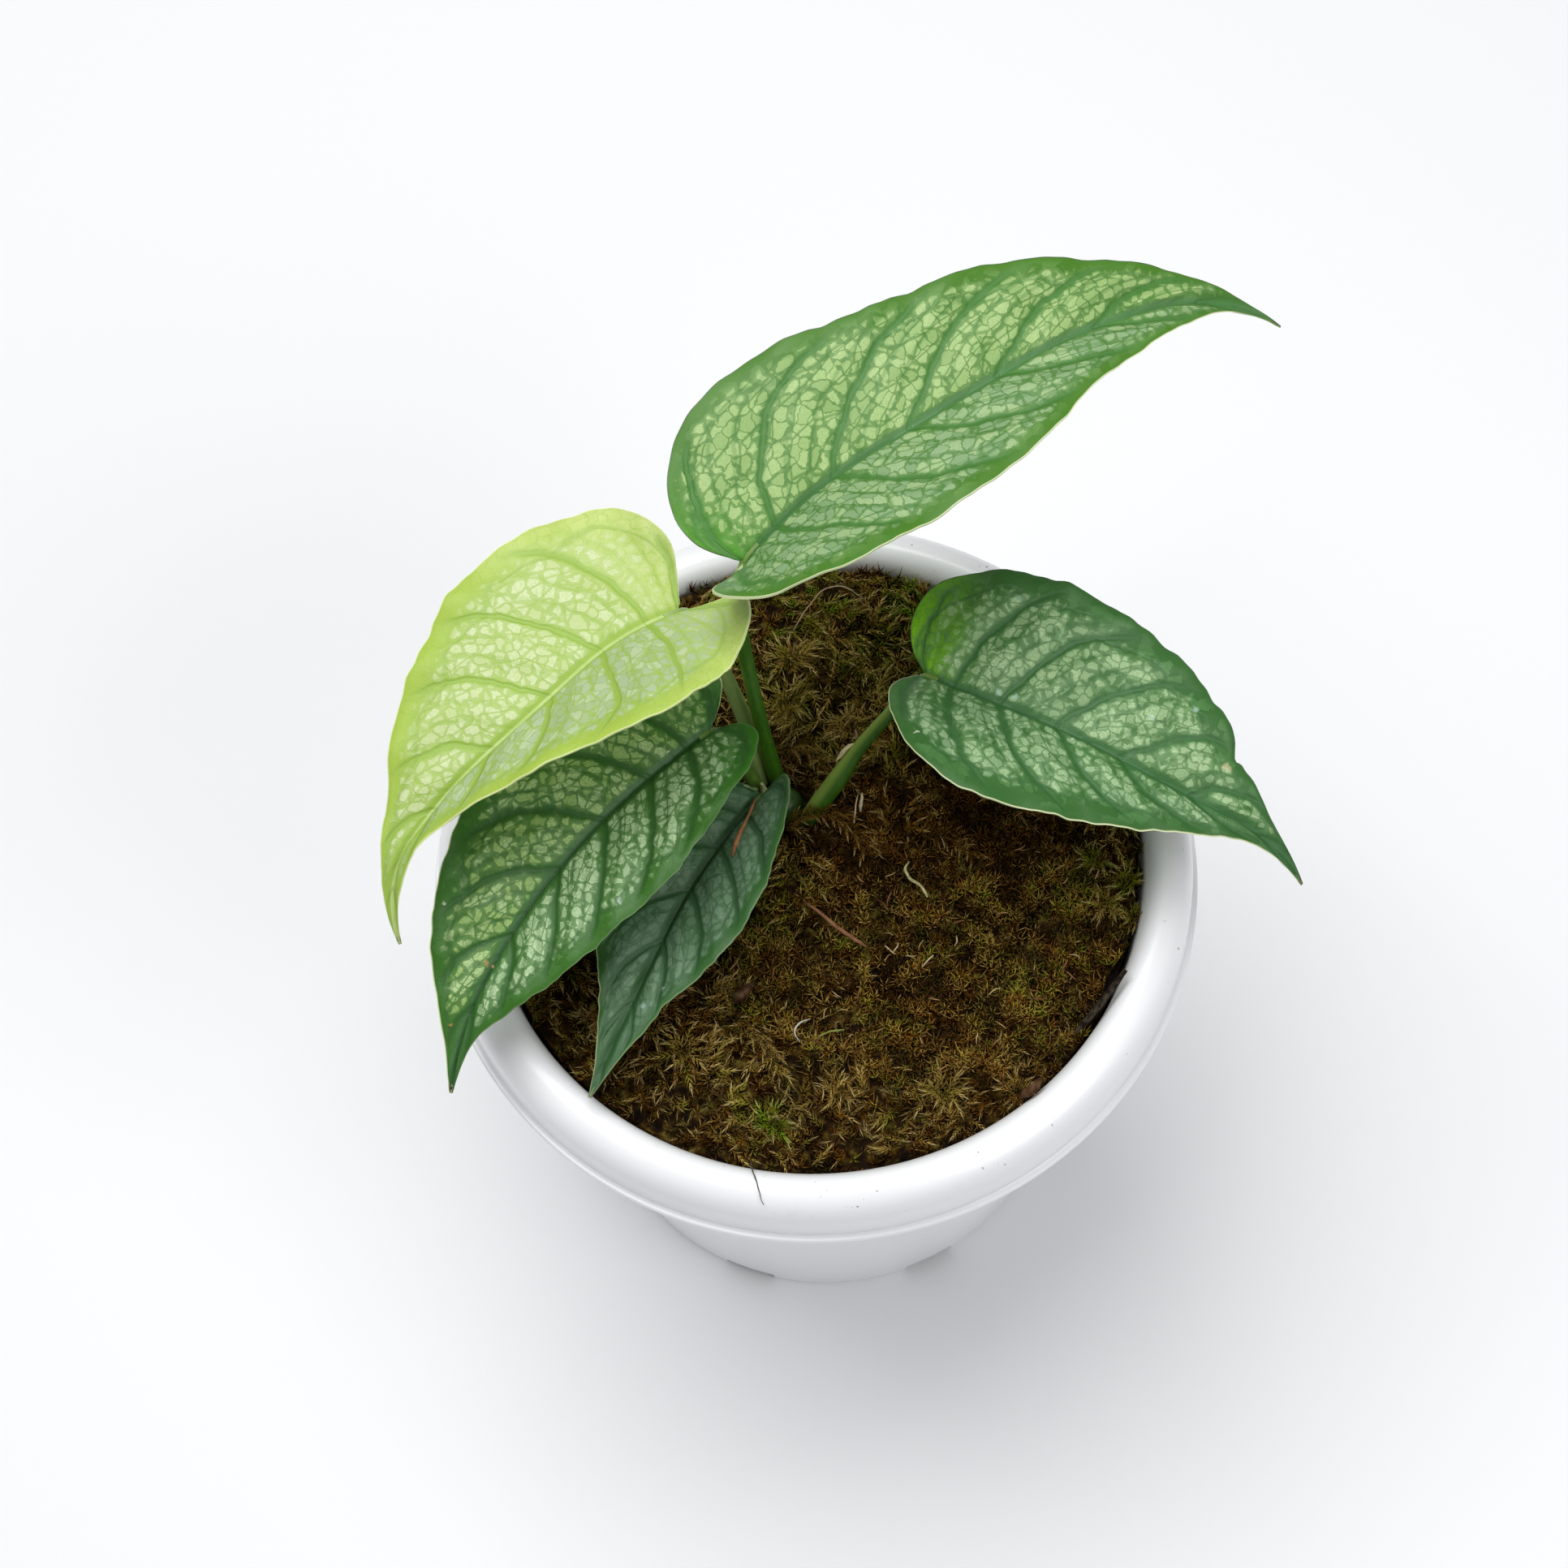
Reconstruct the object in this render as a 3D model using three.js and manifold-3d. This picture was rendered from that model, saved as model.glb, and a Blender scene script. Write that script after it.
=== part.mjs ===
// A young Monstera siltepecana with five leaves, in a white plastic nursery pot.
// Millimetres, +Z up. The origin is the centre of the pot's underside.

import * as THREE from 'three';
import { mergeVertices } from 'three/addons/utils/BufferGeometryUtils.js';
import Module from 'manifold-3d';

const wasm = await Module();
wasm.setup();

// Driving dimensions

const gap = 0.3; // left between pieces that touch

const pot = {
  height: 124,
  baseRadius: 51, // outside, where the wall meets the foot
  footBevel: 1.8,
  mouthRadius: 64, // inside, under the rounded rim
  mouthDepth: 6, // from the rim's top down to where the straight wall starts
  crestRadius: 68, // the ring that the rim's top lies on
  rimRadius: 73.6, // outside of the rim's skirt
  lipRadius: 75, // the thin lip under the skirt
  lipThickness: 1.3,
  skirtDepth: 13.4,
  wall: 1.5,
  floor: 1.8,
  segments: 64,
};

const drain = { count: 8, width: 11, height: 4.5, innerRadius: 45 };

const mix = { top: 112, rootDepth: 62, segments: 36 };

const moss = {
  bottom: mix.top + gap,
  level: 118.6,
  backRise: 2.6, // the bed stands higher towards the back
  crownDip: 3.2,
  crownSpread: 9,
  edgeDrop: 1.2,
  rings: 13,
  segments: 60,
  grain: 1.2, // how far single points of the bed stand up or sink, at random
  calmRadius: 30, // the grain fades towards the middle, where the points stand close
  seed: 11,
  spikeRadius: 1.15,
};

const crown = { x: -5.2, y: 13.2, holeRadius: 9 }; // where the plant stands in the bed

const stem = { radius: 4.1, bottom: 97, top: 121.5 };

const roots = { count: 6, radius: 1.1, top: 96.4, reach: 33, seed: 4 };

const blade = { thickness: 0.8, rows: 27, columns: 4, rowPower: 1.8 };

// Places on the moss where a feathery tuft stands up: x, y, reach of its blades, how many
const tufts = [
  [22.8, -49.6, 8.5, 9],
  [-9.7, -52.4, 7, 8],
  [58.0, -5.2, 6.5, 8],
  [-26.5, -49.0, 6.5, 7],
  [-34.0, -42.7, 7, 7],
  [-43.0, -38.0, 6, 6],
  [8.0, -55.5, 5.5, 5],
  [36.0, -46.0, 5, 5],
  [-53.0, -24.0, 6, 6],
  [55.0, 14.0, 6, 6],
  [10.0, 40.0, 6.5, 7],
  [24.0, 52.0, 6, 7],
  [-6.0, 52.0, 6, 6],
  [-30.0, 46.0, 6, 5],
  [38.0, 34.0, 5.5, 6],
  [5.5, -0.5, 6, 6],
  [-52.0, 22.0, 6, 6],
];

// The leaves. base is where the petiole meets the blade, heading and slope are the midrib's
// direction in degrees at even places from base to tip, and foldLeft and foldRight are how
// steeply each half rises from the midrib. Outline points are [along the midrib, out from it].
const leaves = {
  back: {
    color: 0x5c8f45,
    base: [-9.4, 31.5, 185],
    length: 123,
    heading: [46, 27, 31, 21, -8],
    slope: [16, 8, -2, -14, -46],
    foldLeft: [18, 17, 15, 12, 8],
    foldRight: [50, 27, 19, 14, 8],
    lobeFold: [0, 30],
    lobeLift: 4,
    curl: -6,
    left: [[-0.6, 1.7], [-2.7, 8.5], [-1.5, 14.8], [4, 21.8], [12, 26.2], [24, 26.8], [38, 24.7],
      [52, 22.4], [66, 20.2], [78, 16], [92, 10], [105, 4.4], [114, 1.7], [123, 0.3]],
    right: [[-1.2, 0.8], [-5.5, 4.4], [-8, 9], [-6, 15], [0, 22], [8, 25.8], [17, 26.4],
      [30, 24.6], [44, 22.2], [57, 18.8], [70, 13.6], [84, 9.6], [97, 5.6], [107, 2.2],
      [115, 0.8], [123, 0.3]],
    ripple: { count: 9, height: 0.7, phase: 0.2 },
    veins: 8,
    quilt: 0.5,
    keel: 1.35,
    petiole: [[-5.2, 17.2, 110], [-6.2, 17.4, 119], [-7, 17.8, 126], [-8.8, 21.4, 140],
      [-10.7, 27.4, 158], [-10.9, 29, 174], [-9.9, 30.3, 182.2]],
    petioleRadius: [1.75, 1.5, 1.45],
  },
  young: {
    color: 0xa9bf57,
    base: [-22, 28.4, 174],
    length: 87.5,
    heading: [-159, -139, -143, -134, -72],
    slope: [8, -4, -12, -24, -60],
    foldLeft: [34, 34, 40, 38, 10],
    foldRight: [8, 8, 8, 8, 8],
    lobeFold: [16, 10],
    lobeLift: 5,
    curl: -6,
    left: [[-1.2, 0.8], [-6, 4], [-8.7, 8.5], [-8.4, 14], [-5.2, 20.4], [2, 24.6], [13, 26.4],
      [24, 23.6], [34, 18.4], [44, 14.2], [53, 9.4], [61, 5], [70, 2.8], [79, 1.3], [87.5, 0.3]],
    right: [[-0.5, 1.2], [-2, 5.5], [-3.4, 13], [-1.4, 19.5], [5, 25], [15, 27.8], [29, 28],
      [38, 24.8], [47, 20.6], [55, 15], [63, 8.4], [71, 3.6], [79, 1.4], [87.5, 0.3]],
    ripple: { count: 8, height: 0.8, phase: 0.6 },
    veins: 7,
    quilt: 0.5,
    keel: 1.3,
    petiole: [[-9, 17.8, 110], [-9.7, 18.6, 119], [-10.3, 20, 127], [-11.6, 23.5, 134],
      [-13.1, 25.8, 140], [-14.9, 28.2, 146], [-17, 29.7, 153], [-19, 30, 161],
      [-21, 29, 171]],
    petioleRadius: [1.7, 1.6, 1.35],
  },
  middle: {
    color: 0x3f7a38,
    base: [-17.8, 14.6, 151],
    length: 87,
    heading: [-142, -141, -132, -123, -104],
    slope: [6, -6, -14, -20, -40],
    foldLeft: [18, 16, 14, 12, 8],
    foldRight: [16, 14, 14, 12, 8],
    lobeFold: [0, 0],
    lobeLift: 2,
    curl: -6,
    left: [[-1.3, 0.9], [-4.5, 3.4], [-5.3, 7], [-1.8, 11], [8.7, 15], [19, 18.2], [29, 19.4],
      [40, 17.8], [51, 15.1], [60, 11.6], [68, 7.2], [76, 2.6], [87, 0.3]],
    right: [[-1.4, 0.9], [-4.6, 3.1], [-7.4, 6.4], [-5.4, 12], [2.5, 18.2], [14, 21.4],
      [28, 22.4], [40, 21.6], [48, 19.2], [57, 15.6], [65, 11.2], [72, 6.2], [79, 2.5], [87, 0.3]],
    ripple: { count: 9, height: 0.7, phase: 0.35 },
    veins: 7,
    quilt: 0.55,
    keel: 1.25,
    petiole: [[-9.8, 14, 110], [-10, 14.9, 119], [-11, 14.8, 126], [-13.9, 14.9, 136],
      [-16.8, 14.9, 148.2]],
    petioleRadius: [1.5, 1.4, 1.25],
  },
  low: {
    color: 0x38603f,
    base: [-9.4, 8.6, 133],
    length: 68.4,
    heading: [-131, -126, -118, -118, -116],
    slope: [4, 0, -4, -8, -10],
    foldLeft: [46, 36, 28, 18, 10],
    foldRight: [14, 14, 12, 10, 8],
    lobeFold: [20, 0],
    lobeLift: 4,
    curl: -4,
    left: [[-1.4, 0.7], [-3.6, 1.9], [-4.6, 4], [-1.4, 8.6], [7, 13.6], [16, 16.6], [26, 17],
      [34.5, 14.4], [41, 10.8], [47, 7], [54, 4.6], [61, 2.2], [68.4, 0.3]],
    right: [[0.1, 1], [0.8, 4], [2.2, 8], [5, 12.6], [11, 16.2], [19, 17.4], [28, 16.4],
      [36, 13.6], [43, 10.2], [49, 6.8], [56, 3.9], [63, 1.4], [68.4, 0.3]],
    ripple: { count: 7, height: 0.5, phase: 0.1 },
    veins: 6,
    quilt: 0.45,
    keel: 1.1,
    petiole: [[-8, 9.8, 110], [-8.8, 9.4, 119], [-9.5, 8.6, 125], [-9.7, 8.6, 130.6]],
    petioleRadius: [1.4, 1.25, 1.15],
  },
  right: {
    color: 0x3c6d40,
    base: [23, 23.7, 150],
    length: 85.5,
    heading: [-31, -29, -32, -25, -46],
    slope: [10, 2, -8, -20, -54],
    foldLeft: [10, 10, 10, 10, 8],
    foldRight: [34, 28, 20, 12, 8],
    lobeFold: [0, 0],
    lobeLift: 2,
    curl: -8,
    left: [[-1.2, 1], [-4.2, 3.7], [-6.6, 8], [-7.1, 13], [-5, 18.4], [0.4, 23.4], [9, 26.4],
      [18, 27.4], [27, 26.4], [38, 24], [48, 20.6], [57, 15.8], [64, 9.2], [69, 5.6], [76, 2.2],
      [85.5, 0.3]],
    right: [[-0.8, 1.3], [-2.4, 4.4], [-2.9, 8], [-1.3, 12], [2.7, 17.3], [9, 22.5], [18, 25.2],
      [25, 24.4], [32, 21.7], [40, 18.2], [48, 13.8], [56, 9], [65, 4.7], [73, 1.9], [85.5, 0.3]],
    ripple: { count: 9, height: 0.8, phase: 0.8 },
    veins: 7,
    quilt: 0.6,
    keel: 1.3,
    petiole: [[-1.8, 10.6, 110], [-0.2, 10, 118], [5.1, 12.9, 127], [10.2, 16.8, 134],
      [16.2, 19.8, 142], [21.2, 22.6, 148]],
    petioleRadius: [2.1, 1.75, 1.3],
  },
};

// The pale tip of the next leaf, still rolled up
const shoot = {
  route: [[-7.6, 13, 112], [-8.5, 12.8, 121], [-9.2, 12.5, 129]],
  radius: [1.3, 1.1, 0.35],
};

// Helpers

function seededRandom(seed) {
  let state = seed >>> 0;
  return () => {
    state = (state + 0x6d2b79f5) >>> 0;
    let t = state;
    t = Math.imul(t ^ (t >>> 15), t | 1);
    t ^= t + Math.imul(t ^ (t >>> 7), t | 61);
    return ((t ^ (t >>> 14)) >>> 0) / 4294967296;
  };
}

function radians(degrees) {
  return degrees * Math.PI / 180;
}

// Values that stand at even places from 0 to 1, read in between
function between(values, place) {
  const scaled = Math.min(Math.max(place, 0), 1) * (values.length - 1);
  const low = Math.min(Math.floor(scaled), values.length - 2);
  return THREE.MathUtils.lerp(values[low], values[low + 1], scaled - low);
}

function vectors(points) {
  return points.map((point) => new THREE.Vector3(...point));
}

function solid(geometry) {
  const bare = geometry.clone();
  bare.deleteAttribute('normal');
  bare.deleteAttribute('uv');
  const merged = mergeVertices(bare, 1e-4);
  const corners = merged.index.array;
  const triangles = [];
  for (let i = 0; i < corners.length; i += 3) {
    const [a, b, c] = [corners[i], corners[i + 1], corners[i + 2]];
    if (a !== b && b !== c && c !== a) {
      triangles.push(a, b, c);
    }
  }
  return new wasm.Manifold(new wasm.Mesh({
    numProp: 3,
    vertProperties: new Float32Array(merged.attributes.position.array),
    triVerts: new Uint32Array(triangles),
  }));
}

function geometryOf(shape) {
  const mesh = shape.getMesh();
  const geometry = new THREE.BufferGeometry();
  geometry.setAttribute('position', new THREE.BufferAttribute(mesh.vertProperties, 3));
  geometry.setIndex(new THREE.BufferAttribute(mesh.triVerts, 1));
  geometry.computeVertexNormals();
  return geometry;
}

function joined(shapes) {
  return shapes.reduce((whole, shape) => whole.add(shape));
}

// A profile of [radius, height] points turned about the upright axis
function turned(profile, segments) {
  const points = profile.map(([radius, height]) => new THREE.Vector2(radius, height));
  return new THREE.LatheGeometry(points, segments).rotateX(Math.PI / 2);
}

// Profile points on an elliptic arc, angles in degrees
function arc(radius, height, width, rise, from, to, steps) {
  const points = [];
  for (let i = 0; i <= steps; i += 1) {
    const angle = radians(THREE.MathUtils.lerp(from, to, i / steps));
    points.push([radius + width * Math.cos(angle), height + rise * Math.sin(angle)]);
  }
  return points;
}

// A round bar along a curve, whose radius changes from end to end
function bar(curve, radii, sides, steps) {
  const round = new THREE.EllipseCurve(0, 0, 1, 1).getPoints(sides).slice(0, sides);
  const geometry = new THREE.ExtrudeGeometry(new THREE.Shape(round), { steps, extrudePath: curve });
  const centres = curve.getSpacedPoints(steps);
  const position = geometry.attributes.position;
  const corner = new THREE.Vector3();
  for (let i = 0; i < position.count; i += 1) {
    corner.fromBufferAttribute(position, i);
    let nearest = 0;
    centres.forEach((centre, k) => {
      if (centre.distanceToSquared(corner) < centres[nearest].distanceToSquared(corner)) {
        nearest = k;
      }
    });
    const radius = between(radii, nearest / steps);
    corner.sub(centres[nearest]).multiplyScalar(radius).add(centres[nearest]);
    position.setXYZ(i, corner.x, corner.y, corner.z);
  }
  return geometry;
}

// Pot

function innerWallRadius(height) {
  const top = pot.height - pot.mouthDepth;
  const taper = (pot.mouthRadius - (pot.baseRadius - pot.wall)) / (top - pot.footBevel);
  return pot.mouthRadius - taper * (top - height);
}

function potSolid() {
  const spring = pot.height - pot.mouthDepth;
  const lipBottom = pot.height - pot.skirtDepth;
  const lipTop = lipBottom + pot.lipThickness;
  const hollowInner = pot.mouthRadius + pot.wall;
  const hollowOuter = pot.rimRadius - pot.wall;
  const hollowMiddle = (hollowInner + hollowOuter) / 2;
  const hollowWidth = (hollowOuter - hollowInner) / 2;
  const profile = [
    [0, 0],
    [pot.baseRadius - pot.footBevel, 0],
    [pot.baseRadius, pot.footBevel],
    ...arc(hollowMiddle, spring, hollowWidth, pot.mouthDepth - pot.wall, 180, 0, 4),
    [pot.rimRadius - pot.wall, lipBottom],
    [pot.lipRadius, lipBottom],
    [pot.lipRadius, lipTop],
    [pot.rimRadius + gap, lipTop + gap],
    ...arc(pot.crestRadius, spring, pot.rimRadius - pot.crestRadius, pot.mouthDepth, 0, 90, 5),
    ...arc(pot.crestRadius, spring, pot.crestRadius - pot.mouthRadius, pot.mouthDepth, 90, 180, 4)
      .slice(1),
    [pot.baseRadius - pot.wall, pot.footBevel],
    [0, pot.floor],
  ];
  let shape = solid(turned(profile, pot.segments));
  for (let i = 0; i < drain.count; i += 1) {
    const depth = pot.baseRadius + 2 - drain.innerRadius;
    const slot = new THREE.BoxGeometry(depth, drain.width, 2 * drain.height);
    slot.translate(drain.innerRadius + depth / 2, 0, 0);
    slot.rotateZ((i + 0.5) * 2 * Math.PI / drain.count);
    shape = shape.subtract(solid(slot));
  }
  return shape;
}

// Roots and stem, with grow added all round where they are cut out of the mix

function rootsSolid(grow) {
  const random = seededRandom(roots.seed);
  const knobRadius = stem.radius * 0.8;
  const knob = new THREE.SphereGeometry(knobRadius + grow, 9, 5);
  knob.translate(crown.x, crown.y, roots.top - knobRadius);
  const shapes = [solid(knob)];
  for (let i = 0; i < roots.count; i += 1) {
    const angle = (i + 0.6 * random()) * 2 * Math.PI / roots.count;
    const reach = roots.reach * (0.7 + 0.3 * random());
    const drop = mix.rootDepth * (0.7 + 0.3 * random());
    const route = [[0, -3], [0.3, -9], [0.75, -0.45 * drop], [1, -drop]];
    const points = route.map(([out, down]) => new THREE.Vector3(
      crown.x * (1 - out) + reach * out * Math.cos(angle + out * 0.6),
      crown.y * (1 - out) + reach * out * Math.sin(angle + out * 0.6),
      roots.top + down,
    ));
    const curve = new THREE.CatmullRomCurve3(points, false, 'centripetal');
    const radii = [roots.radius + grow, 0.8 * roots.radius + grow, 0.55 * roots.radius + grow];
    shapes.push(solid(bar(curve, radii, 5, 7)));
  }
  return joined(shapes);
}

function stemProfile(grow) {
  const length = stem.top - stem.bottom;
  const radius = stem.radius + grow;
  return [
    [0, stem.bottom - grow],
    [0.8 * radius, stem.bottom - grow],
    [radius, stem.bottom + 0.1 * length],
    [0.9 * radius, stem.bottom + 0.42 * length],
    [1.04 * radius, stem.bottom + 0.5 * length],
    [0.92 * radius, stem.bottom + 0.6 * length],
    [1.02 * radius, stem.bottom + 0.84 * length],
    [0.72 * radius, stem.bottom + 0.96 * length],
    [0, stem.top + grow],
  ];
}

function stemSolid(grow) {
  return solid(turned(stemProfile(grow), 14).translate(crown.x, crown.y, 0));
}

function crownHole(bottom, top) {
  const height = top - bottom;
  const hole = new THREE.CylinderGeometry(crown.holeRadius, crown.holeRadius, height, 20);
  hole.rotateX(Math.PI / 2).translate(crown.x, crown.y, bottom + height / 2);
  return solid(hole);
}

// Potting mix

function mixSolid() {
  const bottom = pot.floor + gap;
  const side = gap / Math.cos(Math.PI / pot.segments);
  const bottomRadius = innerWallRadius(bottom) - 2 * side;
  const bottomBevel = 4;
  const facetSlack = 1 / Math.cos(Math.PI / mix.segments) - 1;
  const topRadius = innerWallRadius(mix.top) * (1 - facetSlack) - side;
  const profile = [
    [0, bottom],
    [bottomRadius - bottomBevel - 1, bottom],
    [innerWallRadius(bottom + bottomBevel) - 1.5, bottom + bottomBevel],
    [topRadius, mix.top],
    [0, mix.top],
  ];
  const holeBottom = roots.top - 8;
  return solid(turned(profile, mix.segments))
    .subtract(crownHole(holeBottom, mix.top + 5))
    .subtract(rootsSolid(gap));
}

// Moss

function mossHeight(x, y) {
  const edge = Math.hypot(x, y) / pot.mouthRadius;
  const toCrown = Math.hypot(x - crown.x, y - crown.y) / moss.crownSpread;
  const lumps = 0.9 * Math.sin(0.19 * x + 1.3) * Math.cos(0.16 * y - 0.7)
    + 0.6 * Math.sin(0.33 * x - 0.21 * y + 2.1)
    + 0.45 * Math.cos(0.29 * x + 0.47 * y);
  return moss.level + moss.backRise * y / pot.mouthRadius + lumps
    - moss.crownDip * Math.exp(-0.5 * toCrown ** 2)
    - moss.edgeDrop * edge ** 8;
}

function mossBedGeometry() {
  const positions = [];
  const triangles = [];
  const edgeRadius = innerWallRadius(moss.bottom) - 2 * gap;
  const random = seededRandom(moss.seed);
  const ring = (radius, heightAt) => {
    for (let i = 0; i < moss.segments; i += 1) {
      const angle = i * 2 * Math.PI / moss.segments;
      const x = radius * Math.cos(angle);
      const y = radius * Math.sin(angle);
      positions.push(x, y, heightAt(x, y));
    }
  };
  for (let k = 1; k <= moss.rings; k += 1) {
    const radius = edgeRadius * (k / moss.rings) ** 0.8;
    const grain = moss.grain * Math.min(1, radius / moss.calmRadius);
    ring(radius, (x, y) => mossHeight(x, y) + grain * (random() - 0.5));
  }
  ring(edgeRadius, () => moss.bottom);
  const top = positions.length / 3;
  positions.push(0, 0, mossHeight(0, 0));
  positions.push(0, 0, moss.bottom);
  for (let i = 0; i < moss.segments; i += 1) {
    const next = (i + 1) % moss.segments;
    triangles.push(top, i, next);
    for (let k = 0; k < moss.rings; k += 1) {
      const inner = k * moss.segments;
      const outer = inner + moss.segments;
      triangles.push(inner + i, outer + i, outer + next);
      triangles.push(inner + i, outer + next, inner + next);
    }
    const last = moss.rings * moss.segments;
    triangles.push(last + i, top + 1, last + next);
  }
  const geometry = new THREE.BufferGeometry();
  geometry.setAttribute('position', new THREE.Float32BufferAttribute(positions, 3));
  geometry.setIndex(triangles);
  return geometry;
}

// One tuft: narrow three-sided blades that fan out and up from one place
function tuftShapes(x, y, reach, count, random) {
  const shapes = [];
  for (let i = 0; i < count; i += 1) {
    const angle = (i + 0.5 * random()) * 2 * Math.PI / count;
    const lean = radians(48 + 22 * random());
    const length = reach * (0.75 + 0.25 * random());
    const spike = new THREE.ConeGeometry(moss.spikeRadius, length + 2, 3);
    spike.translate(0, length / 2 - 1, 0).rotateX(Math.PI / 2);
    spike.rotateY(lean).rotateZ(angle);
    spike.translate(x, y, mossHeight(x, y) - 0.2);
    shapes.push(solid(spike));
  }
  return shapes;
}

function mossSolid() {
  const random = seededRandom(moss.seed);
  const spikes = tufts.flatMap((tuft) => tuftShapes(...tuft, random));
  const freeRadius = innerWallRadius(moss.bottom) - gap;
  const core = new THREE.CylinderGeometry(freeRadius, freeRadius, 60, moss.segments);
  core.rotateX(Math.PI / 2).translate(0, 0, moss.level);
  return solid(mossBedGeometry())
    .add(joined(spikes).intersect(solid(core)))
    .subtract(crownHole(moss.bottom - 5, moss.level + 20));
}

// Leaves

// Gives the function that places a point of the blade: along the midrib, out from it
// (left is positive) and up from its surface
function bladeForm(leaf) {
  const steps = 120;
  const frames = [];
  const place = new THREE.Vector3(...leaf.base);
  const direction = (share) => {
    const heading = radians(between(leaf.heading, share));
    const slope = radians(between(leaf.slope, share));
    const level = Math.cos(slope);
    return {
      along: new THREE.Vector3(level * Math.cos(heading), level * Math.sin(heading), Math.sin(slope)),
      left: new THREE.Vector3(-Math.sin(heading), Math.cos(heading), 0),
    };
  };
  for (let i = 0; i <= steps; i += 1) {
    const { along, left } = direction(i / steps);
    frames.push({ place: place.clone(), along, left, up: along.clone().cross(left) });
    place.addScaledVector(direction((i + 0.5) / steps).along, leaf.length / steps);
  }
  return (a, b, lift = 0) => {
    const share = Math.min(Math.max(a / leaf.length, 0), 1);
    const low = Math.min(Math.floor(share * steps), steps - 1);
    const part = share * steps - low;
    const read = (key) => frames[low][key].clone().lerp(frames[low + 1][key], part);
    const [along, left, up] = [read('along'), read('left'), read('up')];
    const behind = Math.min(a, 0);
    const point = read('place').addScaledVector(along, behind);
    point.addScaledVector(up, leaf.lobeLift * behind ** 2 / 100);
    const side = b < 0 ? -1 : 1;
    const lobeFold = leaf.lobeFold[b < 0 ? 1 : 0] * Math.min(-behind / 10, 1);
    const fold = radians(between(b < 0 ? leaf.foldRight : leaf.foldLeft, share) + lobeFold);
    const curl = radians(leaf.curl) / 25;
    const angle = fold + curl * Math.abs(b);
    const across = (Math.sin(angle) - Math.sin(fold)) / curl;
    const rise = (Math.cos(fold) - Math.cos(angle)) / curl;
    point.addScaledVector(left, side * across).addScaledVector(up, rise);
    if (b === 0) {
      return point.addScaledVector(up, lift);
    }
    return point.addScaledVector(up, lift * Math.cos(angle))
      .addScaledVector(left, -side * lift * Math.sin(angle));
  };
}

// Low relief: the blade swells between its side veins and ripples at its edge
function bladeRelief(leaf, row, out) {
  const { count, height, phase } = leaf.ripple;
  const swell = leaf.quilt * Math.sin(Math.PI * leaf.veins * row) ** 2 * Math.sin(Math.PI * out);
  const calm = Math.min(1, 4 * row) * Math.min(1, 5 * (1 - row));
  return swell + height * calm * Math.sin(2 * Math.PI * (count * row + phase)) * out ** 3;
}

function bladeGeometry(leaf, form) {
  const { rows, columns, thickness } = blade;
  const outline = (points) => new THREE.CatmullRomCurve3(
    points.map(([a, b]) => new THREE.Vector3(a, b, 0)), false, 'centripetal').getSpacedPoints(rows);
  const [left, right] = [outline(leaf.left), outline(leaf.right)];
  const width = 2 * columns + 1;
  const face = (rows + 1) * width;
  const positions = [];
  for (const half of [thickness / 2, -thickness / 2]) {
    for (let i = 0; i <= rows; i += 1) {
      const row = i / rows;
      const rib = leaf.length * row ** blade.rowPower;
      for (let k = -columns; k <= columns; k += 1) {
        const out = Math.abs(k) / columns;
        const edge = k < 0 ? right[i] : left[i];
        const a = THREE.MathUtils.lerp(rib, edge.x, out);
        const b = Math.sign(k) * out * edge.y;
        positions.push(...form(a, b, bladeRelief(leaf, row, out) + half));
      }
    }
  }
  const triangles = [];
  const quad = (a, b, c, d) => triangles.push(a, b, c, a, c, d);
  for (let i = 0; i < rows; i += 1) {
    const [low, high] = [i * width, (i + 1) * width];
    for (let k = 0; k < 2 * columns; k += 1) {
      // The diagonal runs the same way on both faces
      quad(low + k, high + k, high + k + 1, low + k + 1);
      const [a, b, c, d] = [low + k, high + k, high + k + 1, low + k + 1].map((n) => n + face);
      triangles.push(a, c, b, a, d, c);
    }
    quad(high, low, low + face, high + face);
    const end = 2 * columns;
    quad(low + end, high + end, high + end + face, low + end + face);
  }
  for (let k = 0; k < 2 * columns; k += 1) {
    quad(k, k + 1, k + 1 + face, k + face);
    const last = rows * width + k;
    quad(last + 1, last, last + face, last + 1 + face);
  }
  const geometry = new THREE.BufferGeometry();
  geometry.setAttribute('position', new THREE.Float32BufferAttribute(positions, 3));
  geometry.setIndex(triangles);
  return geometry;
}

// The raised midrib under the blade, with the short bend that carries it on to the petiole
function keelShape(leaf, form) {
  const end = new THREE.Vector3(...leaf.petiole.at(-1));
  const junction = new THREE.Vector3(...leaf.base);
  const arrival = junction.clone().sub(end).normalize();
  const sink = 0.5;
  const points = [
    end.clone().addScaledVector(arrival, gap),
    end.clone().lerp(junction, 0.55),
    ...[0.03, 0.1, 0.25, 0.45, 0.7, 0.97].map((share) => form(share * leaf.length, 0, -sink)),
  ];
  const curve = new THREE.CatmullRomCurve3(points, false, 'centripetal');
  return solid(bar(curve, [leaf.keel, 0.8 * leaf.keel, 0.55 * leaf.keel, 0.35], 5, 13));
}

function bladeSolid(leaf) {
  const form = bladeForm(leaf);
  return solid(bladeGeometry(leaf, form)).add(keelShape(leaf, form));
}

function petioleSolid(leaf) {
  const curve = new THREE.CatmullRomCurve3(vectors(leaf.petiole), false, 'centripetal');
  return solid(bar(curve, leaf.petioleRadius, 8, 11)).subtract(stemSolid(gap));
}

function shootSolid() {
  const curve = new THREE.CatmullRomCurve3(vectors(shoot.route), false, 'centripetal');
  return solid(bar(curve, shoot.radius, 6, 8)).subtract(stemSolid(gap));
}

// Assembly

const plant = new THREE.Group();

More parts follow.
